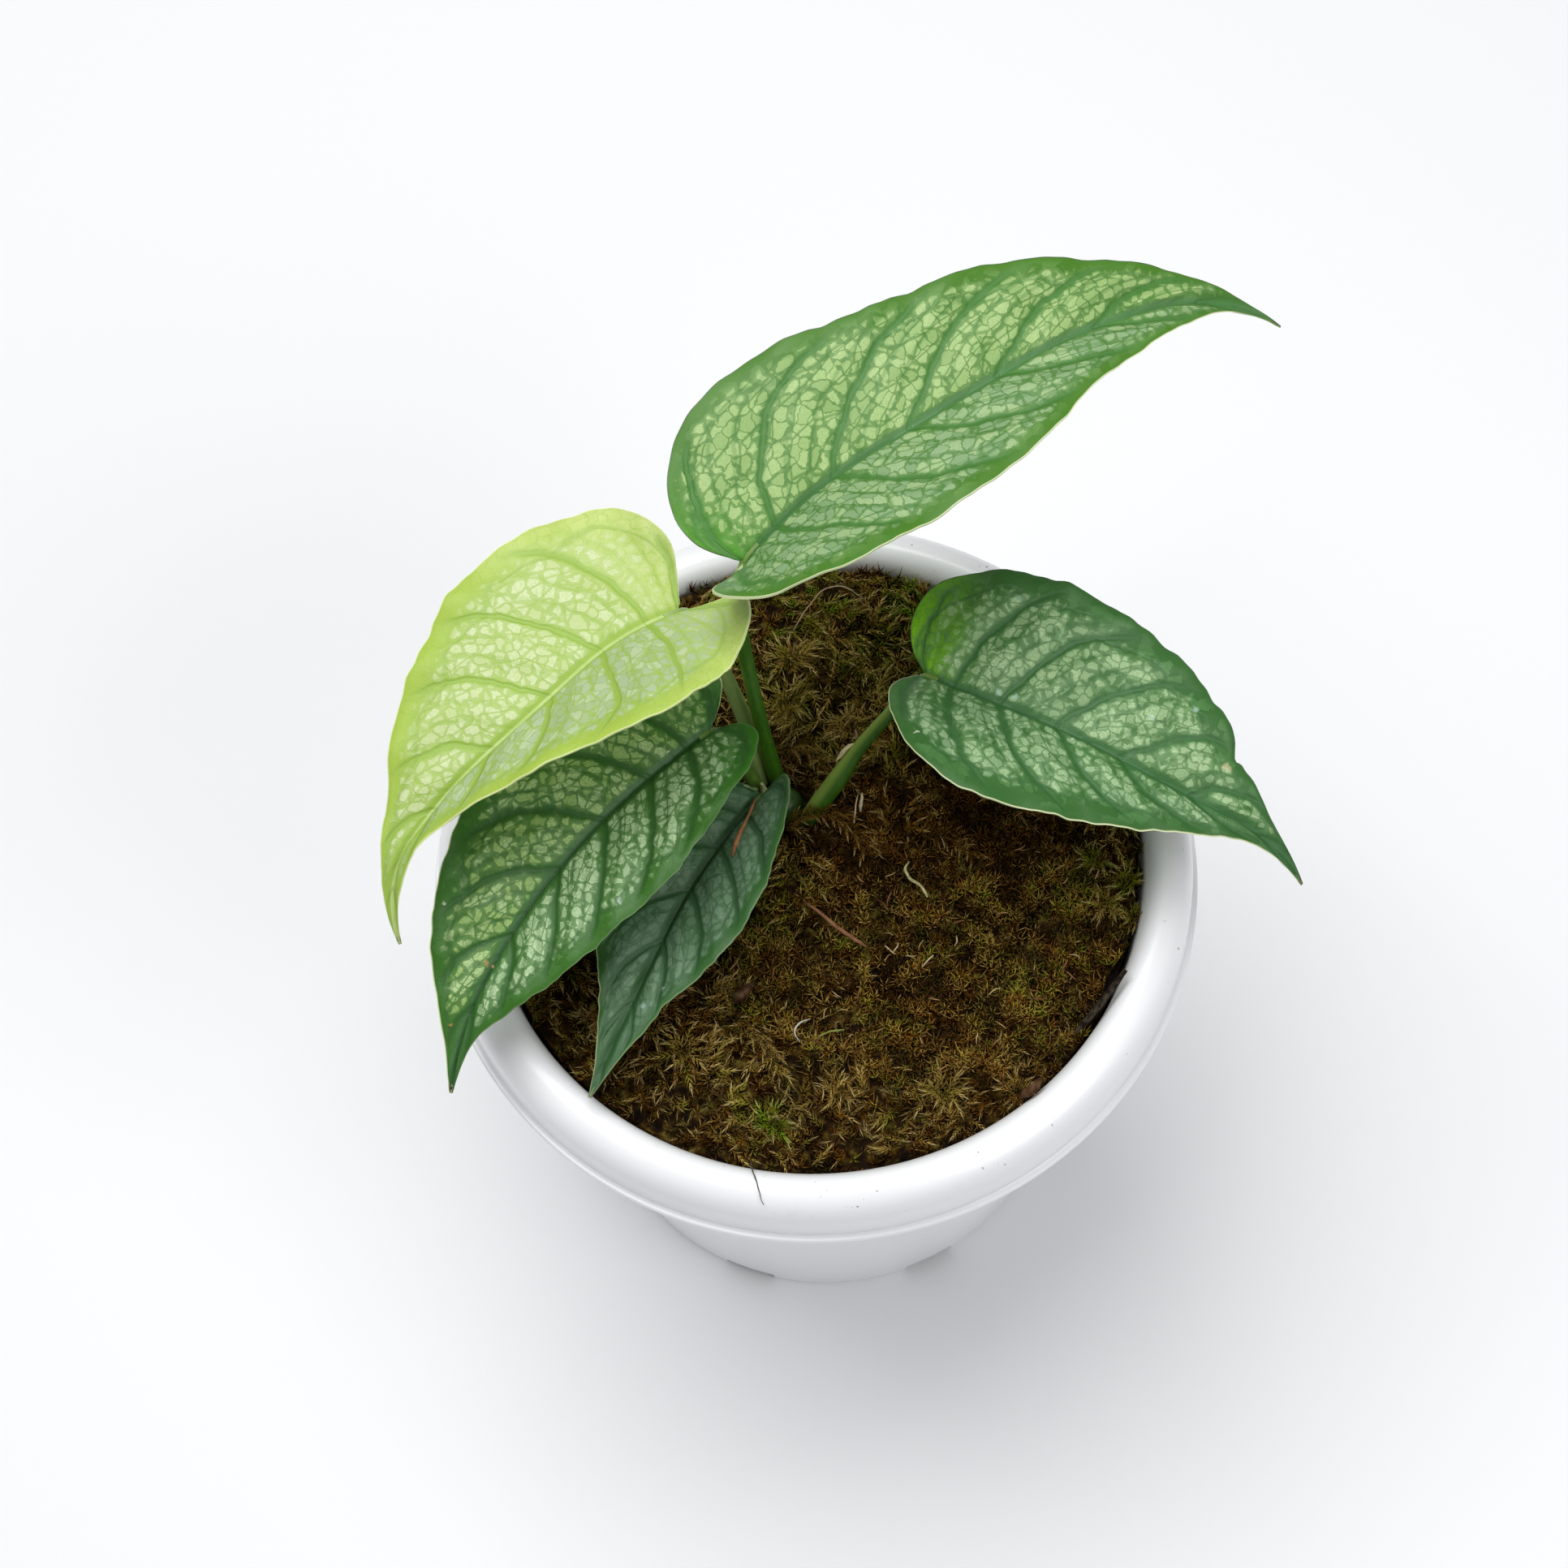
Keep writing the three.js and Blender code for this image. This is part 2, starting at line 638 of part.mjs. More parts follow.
function addPiece(name, shape, color, roughness) {
  const material = new THREE.MeshStandardMaterial({ color, roughness, metalness: 0 });
  const mesh = new THREE.Mesh(geometryOf(shape), material);
  mesh.name = name;
  plant.add(mesh);
}

addPiece('pot', potSolid(), 0xf1f2f4, 0.35);
addPiece('potting_mix', mixSolid(), 0x2a1c12, 1);
addPiece('moss_bed', mossSolid(), 0x4a3a18, 1);
addPiece('roots', rootsSolid(0), 0xb9a27c, 0.8);
addPiece('stem', stemSolid(0), 0x3f6a24, 0.5);
addPiece('new_shoot', shootSolid(), 0xb9c38a, 0.5);
for (const [name, leaf] of Object.entries(leaves)) {
  addPiece(`leaf_${name}_petiole`, petioleSolid(leaf), name === 'young' ? 0x8fae5a : 0x3f7d26, 0.45);
  addPiece(`leaf_${name}_blade`, bladeSolid(leaf), leaf.color, 0.45);
}

export default plant;
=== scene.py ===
# A potted young Monstera siltepecana: silver-green leaves over a moss bed in a white nursery pot.
# The tables are in millimetres and degrees, and mm turns them into Blender's metres.

import math
import random

import bpy
import numpy as np
from mathutils import Matrix, Vector, noise


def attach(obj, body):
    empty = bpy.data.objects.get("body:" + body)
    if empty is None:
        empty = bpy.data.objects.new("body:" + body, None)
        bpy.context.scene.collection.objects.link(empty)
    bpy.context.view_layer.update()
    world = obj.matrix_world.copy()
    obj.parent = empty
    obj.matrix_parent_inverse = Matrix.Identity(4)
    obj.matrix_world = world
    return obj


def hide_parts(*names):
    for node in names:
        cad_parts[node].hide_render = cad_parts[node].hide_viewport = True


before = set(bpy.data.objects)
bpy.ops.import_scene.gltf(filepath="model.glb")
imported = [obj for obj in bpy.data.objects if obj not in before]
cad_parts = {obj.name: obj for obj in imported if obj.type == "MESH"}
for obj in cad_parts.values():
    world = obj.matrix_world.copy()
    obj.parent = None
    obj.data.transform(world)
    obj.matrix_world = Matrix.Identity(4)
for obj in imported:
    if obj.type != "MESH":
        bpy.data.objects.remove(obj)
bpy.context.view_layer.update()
bpy.ops.object.select_all(action="DESELECT")
mm = 0.001
print("frame loaded")


# Camera and light

view = {
    "target": (0, 0, 124),
    "distance": 700,
    "elevation": 67.03,
    "turn": (-1.063, -0.439, 3.55),  # how far the camera is off the straight look at the target
    "photoWidth": 1932,
    "photoFocal": 4452,  # focal length in photo pixels
}

light = {
    "sky": 0.28,
    "skyTone": "#fbfcff",
    "panels": [  # place, aim, size, watts
        ((-200, 260, 1250), (0, 0, 120), 1000, 13.2),
        ((600, -500, 900), (0, 0, 120), 600, 3.4),
    ],
}


def tone(code):  # a colour picker's hex code as Blender's linear colour
    parts = [int(code[i:i + 2], 16) / 255 for i in (1, 3, 5)]
    return [p / 12.92 if p <= 0.04045 else ((p + 0.055) / 1.055) ** 2.4 for p in parts] + [1.0]


def aimed(place, target):
    return (Vector(target) - Vector(place)).to_track_quat("-Z", "Y").to_euler()


def makeCamera():
    elevation = math.radians(view["elevation"])
    back = Vector((0, -math.cos(elevation), math.sin(elevation)))
    right = Vector((1, 0, 0))
    straight = Matrix((right, back.cross(right), back))
    turn = Vector(math.radians(angle) for angle in view["turn"])
    axes = Matrix.Rotation(turn.length, 3, turn.normalized()) @ straight
    bpy.ops.object.camera_add()
    camera = bpy.context.object
    place = (Vector(view["target"]) + view["distance"] * back) * mm
    camera.matrix_world = Matrix.Translation(place) @ axes.transposed().to_4x4()
    camera.data.sensor_fit = "HORIZONTAL"
    camera.data.angle = 2 * math.atan(view["photoWidth"] / 2 / view["photoFocal"])
    camera.data.clip_start = 0.01
    bpy.context.scene.camera = camera


def makeLight():
    world = bpy.data.worlds.new("studio")
    world.use_nodes = True
    sky = world.node_tree.nodes["Background"]
    sky.inputs["Color"].default_value = tone(light["skyTone"])
    sky.inputs["Strength"].default_value = light["sky"]
    bpy.context.scene.world = world
    bpy.context.scene.view_settings.view_transform = "Standard"
    for place, target, size, watts in light["panels"]:
        rotation = aimed(place, target)
        bpy.ops.object.light_add(type="AREA", location=Vector(place) * mm, rotation=rotation)
        panel = bpy.context.object.data
        panel.size = size * mm
        panel.energy = watts


makeCamera()
makeLight()
print("camera and light set")


# Materials are written as sums: a Flow is one value in the node tree, and a Finish is the tree

class Flow:
    def __init__(self, finish, socket):
        self.finish = finish
        self.socket = socket

    def maths(self, operation, *values):
        return self.finish.node("Math", {"operation": operation}, dict(enumerate(values)))

    def __add__(self, other):
        return self.maths("ADD", self, other)

    def __sub__(self, other):
        return self.maths("SUBTRACT", self, other)

    def __rsub__(self, other):
        return self.maths("SUBTRACT", other, self)

    def __mul__(self, other):
        return self.maths("MULTIPLY", self, other)

    def orMore(self, other):
        return self.maths("MAXIMUM", self, other)

    def size(self):
        return self.maths("ABSOLUTE", self)

    def toWhole(self):  # distance to the nearest whole number
        return (self.maths("FRACT", self + 0.5) - 0.5).size()

    def rise(self, low, high):  # 0 below low, 1 above high, smooth between
        settings = {"interpolation_type": "SMOOTHSTEP"}
        return self.finish.node("MapRange", settings, {"Value": self, "From Min": low, "From Max": high})

    def fall(self, low, high):
        return 1 - self.rise(low, high)


class Finish:
    def __init__(self, name, **fixed):
        self.material = bpy.data.materials.new(name)
        self.material.use_nodes = True
        self.tree = self.material.node_tree
        self.shader = self.tree.nodes["Principled BSDF"]
        for socket, value in fixed.items():
            self.feed(socket.replace("_", " "), value)

    def plug(self, value, socket):
        if isinstance(value, Flow):
            self.tree.links.new(value.socket, socket)
        elif isinstance(value, str):
            socket.default_value = tone(value)
        else:
            socket.default_value = value

    def feed(self, socket, value):
        self.plug(value, self.shader.inputs[socket])

    def base(self, colour):
        self.colour = colour
        self.feed("Base Color", colour)

    def cover(self, share, colour):  # lays a colour over what is there so far
        self.base(self.blend(share, self.colour, colour))

    def node(self, kind, settings=None, sockets=None, output=0):
        node = self.tree.nodes.new("ShaderNode" + kind)
        for name, value in (settings or {}).items():
            setattr(node, name, value)
        for name, value in (sockets or {}).items():
            self.plug(value, node.inputs[name])
        return Flow(self, node.outputs[output])

    def blend(self, share, first, second):
        return self.node("Mix", {"data_type": "RGBA"}, {0: share, 6: first, 7: second}, 2)

    def ramp(self, share, stops):  # the colour at a share, from stops of position and colour
        colour = self.node("ValToRGB", {}, {0: share})
        elements = colour.socket.node.color_ramp.elements
        elements.remove(elements[1])
        elements[0].position = stops[0][0]
        elements[0].color = tone(stops[0][1])
        for position, code in stops[1:]:
            elements.new(position).color = tone(code)
        return colour

    def place(self):
        return self.node("TexCoord", output="Object")

    def parts(self, vector):
        first = self.node("SeparateXYZ", {}, {0: vector})
        return [Flow(self, socket) for socket in first.socket.node.outputs]

    def uv(self, name):
        return self.node("UVMap", {"uv_map": name})

    def painted(self, name):
        return self.node("Attribute", {"attribute_name": name}, {}, "Fac")

    def cloud(self, place, scale, detail=2, flat=False, output=0):
        settings = {"noise_dimensions": "2D" if flat else "3D"}
        return self.node("TexNoise", settings, {"Vector": place, "Scale": scale, "Detail": detail}, output)

    def cells(self, place, scale, feature="DISTANCE_TO_EDGE", output=0):  # an uneven net on a plane
        settings = {"voronoi_dimensions": "2D", "feature": feature}
        sockets = {"Vector": place, "Scale": scale, "Randomness": 0.9}
        return self.node("TexVoronoi", settings, sockets, output)

    def bump(self, height, depth):
        self.feed("Normal", self.node("Bump", {}, {"Distance": depth * mm, "Height": height}))


# Mesh helpers

def readPoints(mesh):
    flat = np.empty(3 * len(mesh.vertices))
    mesh.vertices.foreach_get("co", flat)
    return flat.reshape(-1, 3)


def writePoints(mesh, points):
    mesh.vertices.foreach_set("co", points.astype(np.float32).ravel())
    mesh.update()


def paint(mesh, name, values):
    layer = mesh.attributes.new(name, "FLOAT", "POINT")
    layer.data.foreach_set("value", np.asarray(values, np.float32))


def unwrap(mesh, name, across, up):
    corners = np.empty(len(mesh.loops), np.int32)
    mesh.loops.foreach_get("vertex_index", corners)
    layer = mesh.uv_layers.new(name=name)
    layer.data.foreach_set("uv", np.stack([across, up], axis=-1)[corners].astype(np.float32).ravel())


def useOnly(piece):
    bpy.ops.object.select_all(action="DESELECT")
    piece.select_set(True)
    bpy.context.view_layer.objects.active = piece


def applyAll(piece):
    useOnly(piece)
    for modifier in list(piece.modifiers):
        bpy.ops.object.modifier_apply(modifier=modifier.name)


def settle(piece, name, slot, node=None, material=None):  # node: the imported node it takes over
    useOnly(piece)
    bpy.ops.object.transform_apply()
    piece.name = name
    piece.data.name = name
    if material:
        piece.data.materials.clear()
        piece.data.materials.append(material)
    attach(piece, "root")
    if node:
        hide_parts(node)
    print(name, len(piece.data.polygons), "faces")


def smoothCurve(points, count):  # centripetal curve through the points, evenly spaced
    points = np.asarray(points, float)
    ends = np.vstack([2 * points[0] - points[1], points, 2 * points[-1] - points[-2]])
    share = np.linspace(0, 1, 24, endpoint=False)[:, None]
    dense = []
    for before, start, end, after in zip(ends, ends[1:], ends[2:], ends[3:]):
        a, b, c = [max(np.linalg.norm(step) ** 0.5, 1e-4)
                   for step in (start - before, end - start, after - end)]
        leave = ((start - before) / a - (end - before) / (a + b) + (end - start) / b) * b
        arrive = ((end - start) / b - (after - start) / (b + c) + (after - end) / c) * b
        dense.append(start + leave * share + (3 * (end - start) - 2 * leave - arrive) * share ** 2
                     + (2 * (start - end) + leave + arrive) * share ** 3)
    dense = np.vstack([*dense, points[-1:]])
    steps = np.linalg.norm(np.diff(dense, axis=0), axis=1)
    travelled = np.concatenate([[0], np.cumsum(steps)])
    even = np.linspace(0, travelled[-1], count + 1)
    return np.stack([np.interp(even, travelled, axis) for axis in dense.T], axis=-1)


def stationValues(values, share):
    return np.interp(share, np.linspace(0, 1, len(values)), values)


def smoothRise(value, low, high):
    share = np.clip((value - low) / (high - low), 0, 1)
    return share * share * (3 - 2 * share)


def bar(route, radii, count=40, sides=4):  # a round bar along a route, both in mm
    centres = smoothCurve(route, count)
    bpy.ops.curve.primitive_nurbs_path_add()
    piece = bpy.context.object
    curve = piece.data
    curve.splines.clear()
    line = curve.splines.new("POLY")
    line.points.add(count)
    for i, centre in enumerate(centres):
        line.points[i].co = (*(centre * mm), 1)
        line.points[i].radius = stationValues(radii, i / count)
    curve.bevel_depth = mm
    curve.bevel_resolution = sides
    curve.use_fill_caps = True
    useOnly(piece)
    bpy.ops.object.convert(target="MESH")
    piece = bpy.context.object
    points = readPoints(piece.data) / mm
    gaps = np.linalg.norm(points[:, None, :] - centres[None, :, :], axis=2)
    paint(piece.data, "along", gaps.argmin(axis=1) / count)
    bpy.ops.object.shade_smooth()
    return piece


def joinAll(pieces):
    useOnly(pieces[0])
    for piece in pieces[1:]:
        piece.select_set(True)
    bpy.ops.object.join()
    return bpy.context.object


def drawProfile(profile):  # an edge chain through [radius, height] points, left in edit mode
    bpy.ops.mesh.primitive_plane_add(size=mm)
    bpy.ops.object.mode_set(mode="EDIT")
    bpy.ops.mesh.merge(type="CENTER")
    last = Vector((0, 0, 0))
    for i, (radius, height) in enumerate(profile):
        here = Vector((radius * mm, 0, height * mm))
        if i == 0:
            bpy.ops.transform.translate(value=here)
        else:
            bpy.ops.mesh.extrude_region_move(TRANSFORM_OT_translate={"value": here - last})
        last = here


def spun(profile, steps):
    drawProfile(profile)
    bpy.ops.mesh.select_all(action="SELECT")
    bpy.ops.mesh.spin(steps=steps, angle=2 * math.pi, center=(0, 0, 0), axis=(0, 0, 1))
    bpy.ops.mesh.select_all(action="SELECT")
    bpy.ops.mesh.remove_doubles(threshold=0.01 * mm)
    bpy.ops.mesh.normals_make_consistent(inside=False)
    bpy.ops.object.mode_set(mode="OBJECT")
    return bpy.context.object


# Pot

pot = {
    "height": 124,
    "baseRadius": 51,
    "footBevel": 1.8,
    "footRing": 8,  # width of the flat that it stands on
    "mouthRadius": 64,
    "mouthDepth": 6,
    "crestRadius": 68,
    "rimRadius": 73.6,
    "lipRadius": 75,
    "lipThickness": 1.3,
    "lipRounding": 0.35,
    "skirtDepth": 13.4,
    "wall": 1.5,
    "floor": 1.8,
    "steps": 168,
    "sharpest": 38,  # angle up to which its faces are shaded as one
    "white": "#f3f4f6",
    "dirt": "#8a7f6c",
}

drain = {"count": 8, "width": 11, "height": 4.5, "innerRadius": 45, "corner": 1.2}


def arc(radius, height, width, rise, start, end, steps):
    angles = np.radians(np.linspace(start, end, steps + 1))
    return [(radius + width * math.cos(t), height + rise * math.sin(t)) for t in angles]


def innerWallRadius(height):
    top = pot["height"] - pot["mouthDepth"]
    taper = (pot["mouthRadius"] - pot["baseRadius"] + pot["wall"]) / (top - pot["footBevel"])
    return pot["mouthRadius"] - taper * (top - height)


def potProfile():
    spring = pot["height"] - pot["mouthDepth"]
    lipBottom = pot["height"] - pot["skirtDepth"]
    lipTop = lipBottom + pot["lipThickness"]
    inner = pot["mouthRadius"] + pot["wall"]
    outer = pot["rimRadius"] - pot["wall"]
    base, bevel, wall = pot["baseRadius"], pot["footBevel"], pot["wall"]
    crest, rim = pot["crestRadius"], pot["rimRadius"]
    edge = pot["lipRounding"]
    return [
        (0, 0),
        (base - bevel - pot["footRing"], 0),
        (base - bevel, 0),
        *arc(base - bevel, bevel, bevel, bevel, -60, 0, 3),
        *[(base + (inner - base) * share, bevel + (spring - bevel) * share) for share in (0.3, 0.65)],
        *arc((inner + outer) / 2, spring, (outer - inner) / 2, pot["mouthDepth"] - wall, 180, 0, 14),
        (outer, lipBottom + edge),
        (outer + edge, lipBottom),
        *arc(pot["lipRadius"] - edge, lipBottom + edge, edge, edge, -90, 0, 3),
        *arc(pot["lipRadius"] - edge, lipTop - edge, edge, edge, 0, 90, 3),
        (rim + 2 * edge, lipTop),  # fillet between the lip and the rim
        (rim + 0.15, lipTop + edge),
        *arc(crest, spring, rim - crest, pot["mouthDepth"], 0, 90, 14),
        *arc(crest, spring, crest - pot["mouthRadius"], pot["mouthDepth"], 90, 180, 12)[1:],
        *[(innerWallRadius(height), height) for height in (80, 40)],
        (base - wall, bevel + 1),
        (base - wall - 1.6, pot["floor"]),
        (0, pot["floor"]),
    ]


def potFinish():
    finish = Finish("white_plastic", Coat_Weight=0.25, Coat_Roughness=0.18)
    place = finish.place()
    height = finish.parts(place)[2] * (1 / mm)
    fleck = finish.cloud(place, 900, 1).rise(0.735, 0.775) * finish.cloud(place, 70).rise(0.46, 0.66)
    smear = finish.cloud(place, 260, 4).rise(0.58, 0.78) * finish.cloud(place, 40).rise(0.45, 0.7)
    nearMouth = height.rise(117.5, 121)
    grime = (fleck * 0.75 * nearMouth.orMore(0.12)).orMore(smear * nearMouth * 0.12)
    finish.base(pot["white"])
    finish.cover(grime, pot["dirt"])
    finish.feed("Roughness", finish.cloud(place, 120, 3) * 0.16 + 0.24 + grime * 0.3)
    finish.bump(finish.cloud(place, 300, 3), 0.03)
    return finish.material


def makePot():
    piece = spun(potProfile(), pot["steps"])
    depth = pot["baseRadius"] + 2 - drain["innerRadius"]
    reach = drain["innerRadius"] + depth / 2
    cutters = []
    for i in range(drain["count"]):
        turn = (i + 0.5) * 2 * math.pi / drain["count"]
        centre = (reach * math.cos(turn) * mm, reach * math.sin(turn) * mm, 0)
        bpy.ops.mesh.primitive_cube_add(size=1, location=centre, rotation=(0, 0, turn),
                                        scale=(depth * mm, drain["width"] * mm, 2 * drain["height"] * mm))
        cutter = bpy.context.object
        bpy.ops.object.transform_apply()
        bevel = cutter.modifiers.new("corner", "BEVEL")
        bevel.width = drain["corner"] * mm
        bevel.segments = 3
        applyAll(cutter)
        cutters.append(cutter)
    cutter = joinAll(cutters)
    cut = piece.modifiers.new("drain", "BOOLEAN")
    cut.operation = "DIFFERENCE"
    cut.solver = "EXACT"
    cut.object = cutter
    applyAll(piece)
    bpy.data.objects.remove(cutter)
    useOnly(piece)
    bpy.ops.object.shade_smooth_by_angle(angle=math.radians(pot["sharpest"]))
    settle(piece, "pot_shell", "pot_plastic", "pot", potFinish())


makePot()


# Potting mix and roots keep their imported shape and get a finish

mix = {
    "grain": (320, 5, 1.2),  # noise scale, noise detail, depth in mm
    "tones": [(0.3, "#120b07"), (0.5, "#2c1d12"), (0.62, "#4a3422"), (0.72, "#8b7a63")],
}

roots = {
    "grain": (240, 4, 0.3),
    "tones": [(0.3, "#8a6d45"), (0.55, "#b79f78"), (0.75, "#d8c8a6")],
}


def grainFinish(name, look, **fixed):
    finish = Finish(name, **fixed)
    scale, detail, depth = look["grain"]
    grain = finish.cloud(finish.place(), scale, detail)
    finish.base(finish.ramp(grain, look["tones"]))
    finish.bump(grain, depth)
    return finish.material


def refinish(nodeName, material):
    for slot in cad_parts[nodeName].material_slots:
        slot.material = material


refinish("potting_mix", grainFinish("potting_mix_grain", mix, Roughness=0.95))
refinish("roots", grainFinish("root_skin", roots, Roughness=0.75))


# Moss: a bed, feathery shoots that lie on it, and low stars between them. A spot is its x, y and reach.

crown = {"x": -5.2, "y": 13.2}

moss = {
    "bottom": 112.3,
    "level": 118.6,
    "backRise": 2.6,
    "crownDip": 3.6,
    "crownSpread": 9,
    "edgeDrop": 0.2,
    "clearance": 0.1,  # from the pot's wall
    "gapTurn": -0.47,  # where the moss has drawn back from the wall
    "gapReach": 0.11,
    "gapDepth": 2.6,
    "lowCentre": (24, -18),  # the low, fine patch
    "lowReach": (38, 29),
    "greenSpots": [(-9.7, -52.4, 7), (15, 37, 11), (58, -8, 9), (-28, -40, 8), (-20, -30, 8), (20, -46, 6),
                   (31, 46, 8), (50, 20, 12)],
    "brownSpots": [(5, 4, 9), (18, 6, 9), (32, 6, 9), (46, 4, 8), (-8, 30, 5), (-30, -30, 10),
                   (30, -52, 8)],
    "strawSpots": [(22.8, -49.6, 7), (2, -44, 8), (36, -46, 6), (-2, 28, 7), (12, 31, 9), (2, 40, 7),
                   (32, 34, 8)],
    "tones": [(0.0, "#231405"), (0.2, "#5a330c"), (0.4, "#825818"), (0.55, "#b4954c"), (0.7, "#938c2a"),
              (0.85, "#6d7f16"), (1.0, "#86a820")],
    # pale tips, partly the moss's own colour and partly painted highlight where light falls on top
    "tipAndHighlightTone": "#ecd490",
    # the near-black of painted shade, laid over the shoots' roots and over low-lying shoots
    "paintedShadeTone": "#120b05",
}

bed = {
    "rings": 70,
    "steps": 190,
    "wallGap": 0.6,
    "grain": (420, 5, 1.0),
    # the near-black tones are painted shade in the gaps under the shoots; the lighter ones are the mat's own
    # colour
    "tones": [(0.34, "#0c0704"), (0.5, "#241608"), (0.6, "#43320f"), (0.68, "#5c5420"), (0.8, "#86714a")],
}


def fromCrown(x, y):
    return math.hypot(x - crown["x"], y - crown["y"])


def mossHeight(x, y):
    edge = math.hypot(x, y) / pot["mouthRadius"]
    lumps = (0.9 * math.sin(0.19 * x + 1.3) * math.cos(0.16 * y - 0.7)
             + 0.6 * math.sin(0.33 * x - 0.21 * y + 2.1)
             + 0.45 * math.cos(0.29 * x + 0.47 * y))
    dip = moss["crownDip"] * math.exp(-0.5 * (fromCrown(x, y) / moss["crownSpread"]) ** 2)
    slope = moss["backRise"] * y / pot["mouthRadius"]
    return moss["level"] + slope + lumps - dip - moss["edgeDrop"] * edge ** 8


def lowPatch(x, y):  # 1 on the low patch, 0 well off it
    across = (x - moss["lowCentre"][0]) / moss["lowReach"][0]
    along = (y - moss["lowCentre"][1]) / moss["lowReach"][1]
    wander = 0.35 * noise.noise(Vector((x, y, 5)) / 14)
    return min(max(2.6 * (1.12 - math.hypot(across, along) + wander), 0), 1)


def spotPull(spots, x, y):
    return max(math.exp(-((x - sx) ** 2 + (y - sy) ** 2) / reach ** 2) for sx, sy, reach in spots)


def mouthLimit(height):  # inside radius of the pot at a height, open above the rim
    spring = pot["height"] - pot["mouthDepth"]
    bulge = pot["crestRadius"] - pot["mouthRadius"]
    up = np.clip((height - spring) / pot["mouthDepth"], 0, 1)
    limit = np.where(height < spring, innerWallRadius(np.minimum(height, spring)),
                     pot["crestRadius"] - bulge * np.sqrt(1 - up ** 2))
    return np.where(height > pot["height"] - 0.1, np.inf, limit)


def keepInside(points):  # squeezes mm points back inside the mouth
    radius = np.hypot(points[:, 0], points[:, 1])
    turn = np.arctan2(points[:, 1], points[:, 0])
    gap = moss["gapDepth"] * np.exp(-((turn - moss["gapTurn"]) / moss["gapReach"]) ** 2)
    room = mouthLimit(points[:, 2]) - moss["clearance"] - gap
    points[:, :2] *= np.minimum(1, room / np.maximum(radius, 1))[:, None]
    return points


def mossFinish(name, stops, tipAndHighlightShare):
    finish = Finish(name, Roughness=0.95, Specular_IOR_Level=0.06)
    tint = finish.painted("tint") + (finish.cloud(finish.place(), 900) - 0.5) * 0.25
    along = finish.painted("along")
    finish.base(finish.ramp(tint, stops))
    # the tips turn pale, partly their own colour and partly painted highlight
    finish.cover(along.rise(0.5, 1.05) * tipAndHighlightShare, moss["tipAndHighlightTone"])
    # painted shade: each shoot darkens towards its root, and by the share painted on each copy
    finish.cover(along.fall(0.0, 0.5) * 0.8, moss["paintedShadeTone"])
    finish.cover(finish.painted("paintedShade"), moss["paintedShadeTone"])
    return finish.material


def makeBed():
    bottom = moss["bottom"]
    edge = innerWallRadius(bottom) - bed["wallGap"]
    across = [(edge * i / bed["rings"], moss["level"]) for i in range(bed["rings"] + 1)]
    piece = spun([*across, (edge, bottom + 2), (edge, bottom), (0, bottom)], bed["steps"])
    points = readPoints(piece.data) / mm
    for i, (x, y, z) in enumerate(points):
        if z > bottom + 3:
            rough = noise.fractal(Vector((x, y, 0)) / 2.6, 0.8, 2.1, 4)
            clump = noise.noise(Vector((x, y, 9)) / 7)
            points[i][2] = mossHeight(x, y) + 0.9 * rough + 0.7 * clump - 0.5
    writePoints(piece.data, keepInside(points) * mm)
    useOnly(piece)
    bpy.ops.object.shade_smooth()
    finish = grainFinish("moss_floor", bed, Roughness=1.0, Specular_IOR_Level=0.1)
    settle(piece, "moss_floor", "moss", "moss_bed", finish)


shoot = {
    "stations": 5,
    "ring": 3,
    "stalk": 0.72,
    "rise": (58, 34),  # slope at the root, from the steepest kind to the flattest
    "droop": 62,  # how much the shoot bends over towards its tip
    "spikeLength": 0.36,
    "spikeWidth": 0.027,
    "spread": (46, 24),
    "kinds": 5,
    "seed": 40,
}

star = {"spikes": 6, "width": 0.1, "lean": (16, 58), "root": -0.12, "kinds": 4, "seed": 70}


def takeModel(alongOf):  # the modelled shape as arrays, and the object is cleared away
    piece = bpy.context.object
    bpy.ops.object.transform_apply()
    points = readPoints(piece.data)
    corners = np.array([list(face.vertices) for face in piece.data.polygons])
    bpy.data.objects.remove(piece)
    return points, corners, np.clip([alongOf(point) for point in points], 0, 1)


def modelSpikes(spikes, alongOf):  # spikes: root, direction, length, width
    for i, (root, direction, length, width) in enumerate(spikes):
        rotation = direction.to_track_quat("Z", "Y").to_euler()
        bpy.ops.mesh.primitive_cone_add(vertices=3, radius1=width, depth=length, rotation=rotation,
                                        location=root + direction * length / 2)
        if i == 0:
            bpy.ops.object.transform_apply()
            bpy.ops.object.mode_set(mode="EDIT")
    bpy.ops.object.mode_set(mode="OBJECT")
    return takeModel(alongOf)


def modelShoot(kind):
    draw = random.Random(shoot["seed"] + kind)
    share = kind / (shoot["kinds"] - 1)
    start = shoot["rise"][0] * (1 - share) + shoot["rise"][1] * share
    length, width = shoot["spikeLength"], shoot["spikeWidth"]
    place = Vector((0, 0, 0))
    spikes = []
    for k in range(shoot["stations"]):
        t = k / (shoot["stations"] - 1)
        slope = math.radians(start - shoot["droop"] * t)
        swing = math.radians(18 * math.sin(kind + 2.2 * t))
        level = math.cos(slope)
        axis = Vector((level * math.cos(swing), level * math.sin(swing), math.sin(slope)))
        side = axis.cross(Vector((0, 0, 1))).normalized()
        spread = math.radians(shoot["spread"][0] * (1 - t) + shoot["spread"][1] * t)
        for j in range(shoot["ring"]):
            roll = j * 2 * math.pi / shoot["ring"] + draw.uniform(0, 2)
            out = side * math.cos(roll) + side.cross(axis) * math.sin(roll)
            direction = axis * math.cos(spread) + out * math.sin(spread)
            reach = length * draw.uniform(0.75, 1.15) * (1 - 0.25 * t)
            spikes.append((place.copy(), direction, reach, width))
        place += axis * (shoot["stalk"] / shoot["stations"])
    spikes.append((place, axis, 0.8 * length, width))
    return modelSpikes(spikes, lambda point: point[0] + 0.15)


